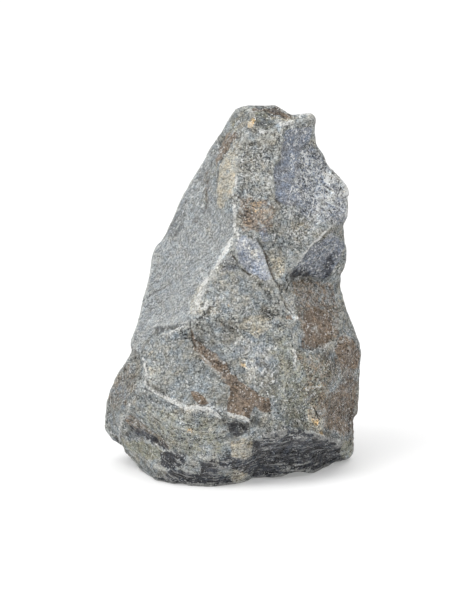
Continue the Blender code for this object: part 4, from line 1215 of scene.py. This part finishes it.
class GroupMaker:
    """Starts a shader node group with named inputs and outputs."""

    def __init__(self, name: str, inputs: dict[str, object], outputs: tuple[str, ...]) -> None:
        """Makes the group's tree, with a vector input for each None and a number for the rest."""
        self.tree = bpy.data.node_groups.new(name, "ShaderNodeTree")
        for title, value in inputs.items():
            kind = "NodeSocketVector" if value is None else "NodeSocketFloat"
            socket = self.tree.interface.new_socket(title, in_out="INPUT", socket_type=kind)
            if value is not None:
                socket.default_value = value
        for title in outputs:
            self.tree.interface.new_socket(title, in_out="OUTPUT", socket_type="NodeSocketFloat")
        self.bench = Bench(self.tree)
        self.inside = self.bench.node("NodeGroupInput").outputs
        self.outside = self.bench.node("NodeGroupOutput").inputs

    def give(self, **values: Value) -> None:
        """Joins values to the group's named outputs."""
        for name, value in values.items():
            self.bench.join(value, self.outside[name.replace("_", " ").title()])


@dataclass(frozen=True)
class GrainShape:
    """What the mineral grain is made of. Sizes are in grain sizes, unless a name ends in _mm."""

    clump_size: float = 1.9
    clump_shift: Triple = (4.0, 19.0, 8.0)
    crystal_shares: Pair = (0.74, 0.26)
    glint_range: Pair = (0.9, 0.92)
    glint_field_mm: float = 5.0
    glint_field_shift: Triple = (13.0, 77.0, 21.0)
    glint_field_range: Pair = (0.44, 0.56)
    lie: Triple = (0.68, 0.1, -0.73)
    lie_stretch: float = 0.55
    mottle_size: float = 6.0
    mottle_shift: Triple = (40.0, 7.0, 3.0)
    mottle_range: Pair = (0.34, 0.66)
    thread_steps_and_sizes: Pairs = ((71.0, 11.0), (23.0, 8.0), (47.0, 5.0))
    thread_bend: float = 1.3
    thread_width: Pair = (0.01, 0.031)
    thread_start: Pair = (-0.28, 0.7)
    thread_fade: float = 0.08
    pit_size: float = 1.7
    pit_shift: Triple = (91.0, 2.0, 33.0)
    pit_range: Pair = (0.42, 0.33)
    grain_rise: float = 1.1
    bevel_rise: float = -0.4
    thread_rise: float = 0.2
    pit_rise: float = -0.35

    def thread(self, bench: Bench, place: Value, step: float, size: Value, amount: Value) -> Socket:
        """Thin short curls across the grain.

        Args:
            bench: The group's bench.
            place: The place on the rock.
            step: How far this run of curls is moved from the others.
            size: About how far one curl reaches.
            amount: From 0 to 1, more and longer curls.

        Returns:
            A mask of the curls.
        """
        swell = bench.noise(bench.shifted(place, (step, 5.0, step / 2)), size, 1.0, 0.5, self.thread_bend)
        growth, least = self.thread_width
        wide = bench.plus_times(least, amount, growth)
        far = bench.calc("ABSOLUTE", bench.calc("SUBTRACT", swell, 0.5))
        curl = bench.fit(far, wide, bench.times(wide, 0.5))
        where = bench.noise(bench.shifted(place, (5.0, step, step / 3)), bench.times(size, 0.5), 2.0, 0.6)
        growth, least = self.thread_start
        start = bench.plus_times(least, amount, growth)
        return bench.times(curl, bench.fit(where, start, bench.plus(start, self.thread_fade)))

    def group(self) -> bpy.types.NodeTree:
        """The grain as a shader group: crystals, mottling, pale threads, dark pits (painted shade in small
        dips), and their relief.
        """
        maker = GroupMaker(
            "Mineral Grain",
            {"Place": None, "Grain Size": 1.0, "Threads": 0.5},
            ("Crystals", "Glints", "Mottle", "Pale Threads", "Dark Pits", "Relief"),
        )
        bench, place, size = maker.bench, maker.inside["Place"], maker.inside["Grain Size"]
        crystal, bevel = bench.cells(place, size)
        clump = bench.shifted(place, self.clump_shift)
        clump, _ = bench.cells(clump, bench.times(size, self.clump_size))
        crystals = [bench.times(value, share) for value, share in zip((crystal, clump), self.crystal_shares)]
        clusters = bench.shifted(place, self.glint_field_shift)
        clusters = bench.noise(clusters, self.glint_field_mm, 3.0, 0.6)
        clusters = bench.fit(clusters, *self.glint_field_range)
        glints = bench.times(bench.fit(crystal, *self.glint_range), clusters)
        along = bench.stretched(place, self.lie, self.lie_stretch)
        fine = bench.noise(along, size, 3.0, 0.75)
        coarse = bench.shifted(along, self.mottle_shift)
        coarse = bench.noise(coarse, bench.times(size, self.mottle_size), 4.0, 0.7)
        both = bench.plus(bench.times(fine, 0.5), bench.times(coarse, 0.5))
        threads = [
            self.thread(bench, place, step, bench.times(size, scale), maker.inside["Threads"])
            for step, scale in self.thread_steps_and_sizes
        ]
        pale = bench.highest(*threads)
        # Dark pits: small dips in the relief, painted darker as their shade.
        pit = bench.shifted(place, self.pit_shift)
        pit = bench.noise(pit, bench.times(size, self.pit_size), 2.0, 0.65)
        dark = bench.fit(pit, *self.pit_range)
        relief = bench.times(both, self.grain_rise)
        for part, rise in ((bevel, self.bevel_rise), (pale, self.thread_rise), (dark, self.pit_rise)):
            relief = bench.plus(relief, bench.times(part, rise))
        maker.give(
            crystals=bench.spread(bench.plus(*crystals)),
            glints=glints,
            mottle=bench.spread(coarse, *self.mottle_range),
            pale_threads=pale,
            dark_pits=dark,
            relief=relief,
        )
        return maker.tree


def broken_faces() -> bpy.types.NodeTree:
    """Small broken faces: each has its own tone and its own tilt, and they meet in low ledges."""
    swell_scale = 1.3
    maker = GroupMaker("Broken Faces", {"Place": None, "Face Size": 3.0}, ("Tone", "Tilt"))
    bench, place, size = maker.bench, maker.inside["Place"], maker.inside["Face Size"]
    swell = bench.node("ShaderNodeTexNoise")
    bench.join(place, swell.inputs["Vector"])
    bench.join(bench.calc("DIVIDE", swell_scale, size), swell.inputs["Scale"])
    bent = bench.vectors("MULTIPLY_ADD", swell.outputs["Color"], bench.vector(size, size, size), place)
    faces = bench.texture("ShaderNodeTexVoronoi", bent.outputs["Vector"], size)
    red, _, _ = bench.parts(faces.outputs["Color"])
    offset = bench.vectors("SUBTRACT", bent.outputs["Vector"], faces.outputs["Position"])
    slope = bench.shifted(faces.outputs["Color"], (-0.5, -0.5, -0.5))
    tilt = bench.vectors("DOT_PRODUCT", offset.outputs["Vector"], slope)
    maker.give(tone=bench.spread(red), tilt=tilt.outputs["Value"])
    return maker.tree


@dataclass(frozen=True)
class StreakShape:
    """How the streaks that follow the rock's layers are cut up.

    Each pressing says how many fit, along, across and through the layers, where one broad streak fits.
    """

    broad_range: Pair = (0.38, 0.62)
    needle_pressing: Triple = (1.7, 1.0, 2.3)
    dash_pressing: Triple = (4.0, 3.0, 1.9)
    cell_size: float = 0.8
    pale_range: Pair = (0.93, 0.95)
    dark_range: Pair = (0.07, 0.05)

    def group(self) -> bpy.types.NodeTree:
        """The streaks as a shader group: broad ones, fine ones, and short pale and dark dashes."""
        maker = GroupMaker(
            "Layered Streaks",
            {"Place": None, "Level": 0.0, "Spacing": 1.0, "Length": 10.0},
            ("Streak", "Fine Streak", "Pale Dashes", "Dark Dashes"),
        )
        bench, inside = maker.bench, maker.inside
        x, y, z = [bench.calc("DIVIDE", part, inside["Length"]) for part in bench.parts(inside["Place"])]
        level = (bench.plus(x, z), y, bench.calc("DIVIDE", inside["Level"], inside["Spacing"]))
        broad = bench.noise(bench.vector(*level), 1.0, 3.0, 0.6)
        needle, dash = [
            bench.cells(bench.vector(*map(bench.times, level, pressing)), self.cell_size)[0]
            for pressing in (self.needle_pressing, self.dash_pressing)
        ]
        maker.give(
            streak=bench.spread(broad, *self.broad_range),
            fine_streak=bench.spread(needle),
            pale_dashes=bench.fit(dash, *self.pale_range),
            dark_dashes=bench.fit(dash, *self.dark_range),
        )
        return maker.tree


def ragged_stain() -> bpy.types.NodeTree:
    """A patch with a ragged edge: solid where it is fully covered, grain by grain where it is thin."""
    crystal_share, edge_spread = 0.18, 2.6
    maker = GroupMaker(
        "Ragged Stain",
        {"Place": None, "Cover": 0.0, "Patch Size": 2.0, "Raggedness": 0.5, "Crystals": 0.0},
        ("Mask",),
    )
    bench, inside = maker.bench, maker.inside
    broad = bench.spread(bench.noise(inside["Place"], inside["Patch Size"], 5.0, 0.7), 0.3, 0.7)
    broken = bench.plus(broad, bench.times(inside["Crystals"], crystal_share))
    ragged = bench.times(broken, inside["Raggedness"])
    spread = bench.plus_times(1.0, inside["Raggedness"], edge_spread)
    middle = bench.times(bench.calc("SUBTRACT", inside["Cover"], 0.5), spread)
    maker.give(mask=bench.fit(bench.plus(bench.plus(middle, ragged), 0.5), 0.0, 1.0))
    return maker.tree


def worn_edge() -> bpy.types.NodeTree:
    """Where standing edges are rubbed pale, broken up by noise."""
    break_size, break_depth, fade = 1.6, 1.6, 0.5
    maker = GroupMaker("Worn Edge", {"Place": None, "Stands Out": 0.0, "Start": 0.5}, ("Mask",))
    bench, start = maker.bench, maker.inside["Start"]
    rubbed = bench.calc("SUBTRACT", bench.noise(maker.inside["Place"], break_size, 3.0, 0.7), 0.5)
    total = bench.plus(maker.inside["Stands Out"], bench.times(rubbed, break_depth))
    maker.give(mask=bench.fit(total, start, bench.plus(start, fade)))
    return maker.tree


@dataclass(frozen=True)
class Stain:
    """How one layer of colour lies on the rock: its colour, and how ragged and how strong it is."""

    layer: Layer
    colour: Colour
    patch_size: float
    raggedness: float
    strength: float


@dataclass(frozen=True)
class Layering:
    """How the streaks along one set of the rock's layers look.

    The level names the map that counts the layers. The rest is the streaks' size, contrast and rise,
    and how strongly the dashes show.
    """

    level: str
    spacing: float
    length: float
    broad: float
    fine: float
    rise: float
    pale_dashes: float
    dark_dashes: float


@dataclass(frozen=True)
class RockFinish:
    """Dry grey schist. Colours are as they look in soft daylight, from 0 to 255.

    A pair of contrasts is for rough rock and for smooth rock. A group of four maps the first two
    numbers onto the last two.
    """

    light_gain: float = 1.07
    cool_grey: Colour = (151, 157, 159)
    warm_grey: Colour = (152, 151, 144)
    slab_grey: Colour = (158, 162, 163)
    pale_thread: Colour = (240, 241, 240)
    white_line: Colour = (240, 240, 237)
    # Painted shade in the grain's small pits; also the colour of the dark dashes along the layers.
    dark_pit: Colour = (78, 79, 81)
    # Colour of the dark marks: dirt in cracks, painted shade in the hollows, and both under ledges.
    crack_dirt_and_shade: Colour = (64, 58, 52)
    worn_rock: Colour = (205, 205, 200)
    cloud_size: float = 9.0
    cloud_grain: float = 0.05
    cloud_range: Pair = (0.36, 0.66)
    hue_size: float = 3.4
    hue_shift: Triple = (8.0, 3.0, 61.0)
    hue_range: Pair = (0.3, 0.7)
    cool_hue: tuple[float, ...] = (0.935, 0.99, 1.06, 1.0)
    warm_hue: tuple[float, ...] = (1.065, 1.01, 0.93, 1.0)
    slab_hue: float = -0.4
    dark_calm: float = 0.8
    beds_calm: float = 0.7
    grain_size: float = 0.55
    grain_relief: Pair = (1.0, 0.5)
    relief_depth: float = 0.5
    crystal_contrast: Pair = (0.92, 0.6)
    mottle_contrast: Pair = (0.13, 0.04)
    face_sizes: tuple[float, ...] = (6.5, 2.8)
    face_contrast: Pair = (0.12, 0.02)
    face_tilt: Pair = (1.0, 0.25)
    speck_rise: float = 0.15
    slab_grain_size: float = 0.33
    slab_grain_contrast: float = 0.62
    powder_share: float = 0.5
    slab_layers: Layering = Layering(
        level="grain_level", spacing=0.9, length=8.0, broad=0.09, fine=0.05, rise=0.25,
        pale_dashes=0.55, dark_dashes=0.4,
    )
    bed_layers: Layering = Layering(
        level="bed_level", spacing=1.2, length=12.0, broad=0.22, fine=0.34, rise=0.35,
        pale_dashes=0.22, dark_dashes=0.0,
    )
    thread_amounts: Pair = (0.25, 0.9)
    bare_threads: float = -1.6
    thread_share: float = 0.9
    pit_share: Pair = (0.65, 0.3)
    glint_share: Pair = (0.75, 0.35)
    # Ground beside ledges: wear and painted light above, dirt and painted shade below.
    ledge_contrast: float = 0.22
    shade_edge: Pair = (3.0, 0.5)
    shade_depth: float = 0.32
    light_rise: float = 0.3
    worn_start: float = 0.62
    worn_share: float = 0.5
    line_edge: Pair = (1.1, 0.9)
    line_by_crystal: tuple[float, ...] = (-0.5, 0.25, 0.3, 1.0)
    # The hollows' painted shade: how it grows as the surface lies further in.
    hollow_fill: tuple[float, ...] = (0.35, 1.0, 0.0, 0.35)
    crack_fill: tuple[float, ...] = (0.25, 0.7, 0.0, 0.9)
    roughness: float = 0.82
    specular: float = 0.3
    stains: tuple[Stain, ...] = (
        Stain(Layer.OLIVE, (146, 146, 131), 3.5, 0.7, 0.9),
        Stain(Layer.SLATE, (136, 142, 154), 2.5, 0.45, 0.9),
        Stain(Layer.OCHRE, (177, 171, 156), 2.2, 0.6, 0.85),
        Stain(Layer.RUST, (129, 111, 94), 2.4, 0.6, 0.85),
        Stain(Layer.GOLD, (212, 184, 138), 1.2, 0.9, 0.85),
        # The dark colour is dark rock, and in places painted shade: under the overhang, in the undercut, at
        # the foot's rim.
        Stain(Layer.DARK, (70, 72, 79), 3.0, 0.7, 0.9),
        Stain(Layer.PALE, (212, 213, 211), 1.6, 0.9, 0.85),
    )

    def surface(self, seen: Colour) -> tuple[float, float, float, float]:
        """The surface colour, as light values, that looks like the seen one under the studio light."""
        levels = [value / 255 for value in seen]
        linear = [value / 12.92 if value <= 0.04045 else ((value + 0.055) / 1.055) ** 2.4 for value in levels]
        return (*[value / self.light_gain for value in linear], 1.0)


class RockMaterial:
    """The rock's material: grain and streaks under stains, worn edges, cracks and threads."""

    def __init__(self, finish: RockFinish, name: str = "dry grey schist") -> None:
        """Starts the material and the nodes that all its layers share.

        Args:
            finish: The rock's colours and contrasts.
            name: The material's name.
        """
        self.finish = finish
        self.material = bpy.data.materials.new(name)
        self.material.use_nodes = True
        self.bench = bench = Bench(self.material.node_tree)
        self.place = bench.scaled(bench.node("ShaderNodeTexCoord").outputs["Object"], 1 / MM)
        self.slab = bench.stored(Layer.SLAB.value)
        beds = bench.stored(Layer.BEDS.value)
        dark = bench.stored(Layer.DARK.value)
        self.speck = bench.stored(Layer.SPECK.value)
        self.calm = bench.highest(
            self.slab,
            bench.times(dark, finish.dark_calm),
            bench.stored(Layer.SMOOTH.value),
            bench.times(beds, finish.beds_calm),
        )
        threads = bench.fit(self.speck, 0.0, 1.0, *finish.thread_amounts, False)
        threads = bench.plus_times(threads, bench.highest(self.slab, dark), finish.bare_threads)
        self.grain = bench.group(
            GrainShape().group(), place=self.place, grain_size=finish.grain_size, threads=threads
        ).outputs
        self.crystals = self.grain["Crystals"]
        faces = broken_faces()
        self.faces = [
            bench.group(faces, place=self.place, face_size=size).outputs for size in finish.face_sizes
        ]
        streaks = StreakShape().group()
        self.layered: list[tuple[Socket, Layering, object]] = []
        for cover, layers in ((self.slab, finish.slab_layers), (beds, finish.bed_layers)):
            sizes = {"spacing": layers.spacing, "length": layers.length}
            made = bench.group(streaks, place=self.place, level=bench.stored(layers.level), **sizes)
            self.layered.append((cover, layers, made.outputs))
        self.stain_tree = ragged_stain()

    def by_calm(self, levels: Pair) -> Socket:
        """A number that goes from its rough-rock level to its smooth-rock level."""
        return self.bench.fit(self.calm, 0.0, 1.0, *levels)

    def grains(self) -> Socket:
        """How light each grain is: crystals on rough rock, and a finer powder on the slab."""
        bench, finish = self.bench, self.finish
        grains = bench.times(self.crystals, self.by_calm(finish.crystal_contrast))
        grains = bench.times(grains, bench.plus_times(1.0, self.speck, finish.speck_rise))
        powder, _ = bench.cells(self.place, finish.slab_grain_size)
        powder = bench.fit(powder, 0.0, 1.0, -finish.slab_grain_contrast, finish.slab_grain_contrast)
        return bench.blend_values(self.slab, bench.plus_times(grains, powder, finish.powder_share), powder)

    def tone(self) -> Socket:
        """How light each spot is against its colour: grains, mottling, streaks, the ground beside ledges
        (wear and dirt, with painted light and shade), and the shade and light patches, which are in
        places painted shade and painted light.
        """
        bench, finish = self.bench, self.finish
        mottle = bench.times(self.grain["Mottle"], self.by_calm(finish.mottle_contrast))
        tone = bench.plus(bench.plus(self.grains(), mottle), 1.0)
        for face in self.faces:
            tone = bench.plus_times(tone, face["Tone"], self.by_calm(finish.face_contrast))
        for cover, layers, streaks in self.layered:
            streak = bench.times(streaks["Streak"], layers.broad)
            streak = bench.plus_times(streak, streaks["Fine Streak"], layers.fine)
            tone = bench.plus_times(tone, streak, cover)
        # Shade and light patches darken and lighten the tone; in places this is painted shade and painted
        # light.
        shade = bench.plus_times(1.0, self.stain(Layer.SHADE.value, *finish.shade_edge), -finish.shade_depth)
        light = bench.plus_times(1.0, self.stain(Layer.LIGHT.value, *finish.shade_edge), finish.light_rise)
        # Beside ledges: wear and painted light on the high side, dirt and painted shade on the low side.
        ledge = bench.plus_times(1.0, bench.stored("ledge"), finish.ledge_contrast)
        return bench.times(bench.times(tone, ledge), bench.times(shade, light))

    def stain(self, stored: str, patch_size: float, raggedness: float) -> Socket:
        """Where a stored layer shows, with its edge broken up."""
        made = self.bench.group(
            self.stain_tree,
            place=self.bench.shifted(self.place, (3.0 * len(stored), 17.0, 5.0)),
            cover=self.bench.stored(stored),
            patch_size=patch_size,
            raggedness=raggedness,
            crystals=self.crystals,
        )
        return made.outputs["Mask"]

    def body(self) -> Socket:
        """The colour under the marks: the grey body, the stains over it (the dark one in places painted
        shade), and a change of hue and tone.
        """
        bench, finish = self.bench, self.finish
        cloud = bench.plus_times(bench.noise(self.place, finish.cloud_size, 4.0, 0.65), self.crystals,
                                 finish.cloud_grain)
        cloud = bench.fit(cloud, *finish.cloud_range)
        colour = bench.blend(cloud, finish.surface(finish.cool_grey), finish.surface(finish.warm_grey))
        colour = bench.blend(self.slab, colour, finish.surface(finish.slab_grey))
        for stain in finish.stains:
            mask = self.stain(stain.layer.value, stain.patch_size, stain.raggedness)
            colour = bench.blend(bench.times(mask, stain.strength), colour, finish.surface(stain.colour))
        hue = bench.noise(bench.shifted(self.place, finish.hue_shift), finish.hue_size, 1.0, 0.5)
        hue = bench.fit(hue, *finish.hue_range, 0.0, 1.0, False)
        hue = bench.blend(hue, finish.cool_hue, finish.warm_hue)
        share = bench.plus_times(1.0, self.slab, finish.slab_hue)
        colour = bench.blend(share, colour, bench.blend(1.0, colour, hue, "MULTIPLY"))
        return bench.scaled(colour, self.tone())

    def marks(self) -> list[tuple[Socket, Colour]]:
        """The small marks over the body, lowest first: how strongly each one shows, and its colour."""
        bench, finish = self.bench, self.finish
        worn = bench.group(
            worn_edge(), place=self.place, stands_out=bench.stored("wear"), start=finish.worn_start
        )
        line = bench.times(
            self.stain("line", *finish.line_edge), bench.fit(self.crystals, *finish.line_by_crystal)
        )
        # Painted shade in the grain's small pits.
        pits = bench.times(self.grain["Dark Pits"], self.by_calm(finish.pit_share))
        marks = [
            (bench.times(worn.outputs["Mask"], finish.worn_share), finish.worn_rock),
            (line, finish.white_line),
            # Painted shade in the hollows, in the dark marks' colour.
            (bench.fit(bench.stored("hollow"), *finish.hollow_fill), finish.crack_dirt_and_shade),
            (bench.fit(bench.stored("crack"), *finish.crack_fill), finish.crack_dirt_and_shade),
            (pits, finish.dark_pit),
        ]
        for cover, layers, streaks in self.layered:
            dashes = (
                ("Dark Dashes", layers.dark_dashes, finish.dark_pit),
                ("Pale Dashes", layers.pale_dashes, finish.pale_thread),
            )
            marks += [
                (bench.times(streaks[name], bench.times(cover, share)), seen)
                for name, share, seen in dashes
                if share
            ]
        glints = bench.times(self.grain["Glints"], self.by_calm(finish.glint_share))
        marks.append((bench.times(self.grain["Pale Threads"], finish.thread_share), finish.pale_thread))
        marks.append((glints, finish.pale_thread))
        return marks

    def colour(self) -> Socket:
        """The rock's colour: its body, and then worn edges, lines, cracks, dashes and threads."""
        colour = self.body()
        for share, seen in self.marks():
            colour = self.bench.blend(share, colour, self.finish.surface(seen))
        return colour

    def relief(self) -> Socket:
        """The finest relief, too fine for the mesh: grain everywhere, streaks on slab and beds."""
        bench, finish = self.bench, self.finish
        height = bench.times(self.grain["Relief"], self.by_calm(finish.grain_relief))
        for face in self.faces:
            height = bench.plus_times(height, face["Tilt"], self.by_calm(finish.face_tilt))
        for cover, layers, streaks in self.layered:
            height = bench.plus_times(height, bench.times(streaks["Streak"], layers.rise), cover)
        bump = bench.node("ShaderNodeBump")
        bump.inputs["Strength"].default_value = 1.0
        bump.inputs["Distance"].default_value = finish.relief_depth * MM
        bench.join(height, bump.inputs["Height"])
        return bump.outputs["Normal"]

    def make(self) -> bpy.types.Material:
        """Joins the layers to the surface.

        Returns:
            The material, which reads the maps that the skin stores at its vertices.
        """
        surface = self.material.node_tree.nodes["Principled BSDF"]
        self.bench.join(self.colour(), surface.inputs["Base Color"])
        self.bench.join(self.relief(), surface.inputs["Normal"])
        surface.inputs["Roughness"].default_value = self.finish.roughness
        surface.inputs["Specular IOR Level"].default_value = self.finish.specular
        surface.inputs["Metallic"].default_value = 0.0
        return self.material


@dataclass
class Studio:
    """A white floor, a white dome that is bright overhead, one soft lamp, and the camera."""

    floor_size_m: float = 24.0
    floor_colour: Colour = (0.78, 0.78, 0.78)
    floor_glow: float = 0.22
    floor_roughness: float = 0.6
    dome_heights: Pair = (0.25, 0.95)
    dome_strengths: Pair = (0.12, 1.6)
    lamp_place_m: Triple = (-0.6, -0.3, 1.1)
    lamp_aim_m: Triple = (0.0, 0.0, 0.08)
    lamp_size_m: float = 0.75
    lamp_watts: float = 7.0
    camera_distance_m: float = 6.0
    picture_height_m: float = 0.298
    picture_middle: Pair = (1.5, 94.0)
    sensor: float = 36.0
    drawing: Drawing = Drawing()

    def lay_floor(self) -> bpy.types.Object:
        """Lays the floor at the stone's foot."""
        half = self.floor_size_m / 2
        mesh = bpy.data.meshes.new("floor")
        corners = [(-half, -half, 0), (half, -half, 0), (half, half, 0), (-half, half, 0)]
        mesh.from_pydata(corners, [], [(0, 1, 2, 3)])
        floor = placed("floor", mesh)
        paint = bpy.data.materials.new("white floor")
        paint.use_nodes = True
        surface = paint.node_tree.nodes["Principled BSDF"]
        surface.inputs["Base Color"].default_value = (*self.floor_colour, 1.0)
        surface.inputs["Roughness"].default_value = self.floor_roughness
        surface.inputs["Emission Color"].default_value = (1.0, 1.0, 1.0, 1.0)
        surface.inputs["Emission Strength"].default_value = self.floor_glow
        mesh.materials.append(paint)
        return floor

    def hang_dome(self) -> None:
        """Lights the scene from a white dome, brightest overhead."""
        world = bpy.data.worlds.new("white dome")
        bpy.context.scene.world = world
        world.use_nodes = True
        bench = Bench(world.node_tree)
        height = bench.parts(bench.node("ShaderNodeTexCoord").outputs["Generated"])[2]
        strength = bench.fit(height, *self.dome_heights, *self.dome_strengths)
        sky = world.node_tree.nodes["Background"]
        sky.inputs["Color"].default_value = (1.0, 1.0, 1.0, 1.0)
        bench.join(strength, sky.inputs["Strength"])

    def hang_lamp(self) -> bpy.types.Object:
        """Hangs one soft square lamp above, to the left and in front."""
        light = bpy.data.lights.new("soft lamp", "AREA")
        light.size = self.lamp_size_m
        light.energy = self.lamp_watts
        lamp = placed("soft lamp", light)
        lamp.location = self.lamp_place_m
        aim = Vector(self.lamp_aim_m) - Vector(self.lamp_place_m)
        lamp.rotation_euler = aim.to_track_quat("-Z", "Y").to_euler()
        return lamp

    def set_camera(self) -> bpy.types.Object:
        """Sets the camera at the drawing's view, far off with a long lens."""
        lens = bpy.data.cameras.new("camera")
        lens.sensor_width = self.sensor
        lens.lens = self.sensor * self.camera_distance_m / self.picture_height_m
        camera = placed("camera", lens)
        across, up = self.picture_middle
        middle = np.array([*self.drawing.shift, 0.0]) + across * self.drawing.across_axis()
        middle = (middle + (up - self.drawing.ground_up) * self.drawing.up_axis()) * MM
        toward = self.drawing.toward_axis()
        camera.location = Vector(middle + toward * self.camera_distance_m)
        camera.rotation_mode = "QUATERNION"
        camera.rotation_quaternion = Vector(-toward).to_track_quat("-Z", "Y")
        bpy.context.scene.camera = camera
        return camera

    def build(self) -> None:
        """Sets up the floor, the lights and the camera."""
        self.lay_floor()
        self.hang_dome()
        self.hang_lamp()
        self.set_camera()
        bpy.context.scene.view_settings.view_transform = "Standard"
        LOG.info("studio: floor, dome, lamp and camera")


def main() -> None:
    """Builds the stone and its studio."""
    logging.basicConfig(level=logging.INFO, format="%(name)s: %(message)s")
    Studio().build()
    StoneSkin().build(RockMaterial(RockFinish()).make())


if __name__ == "__main__":
    main()
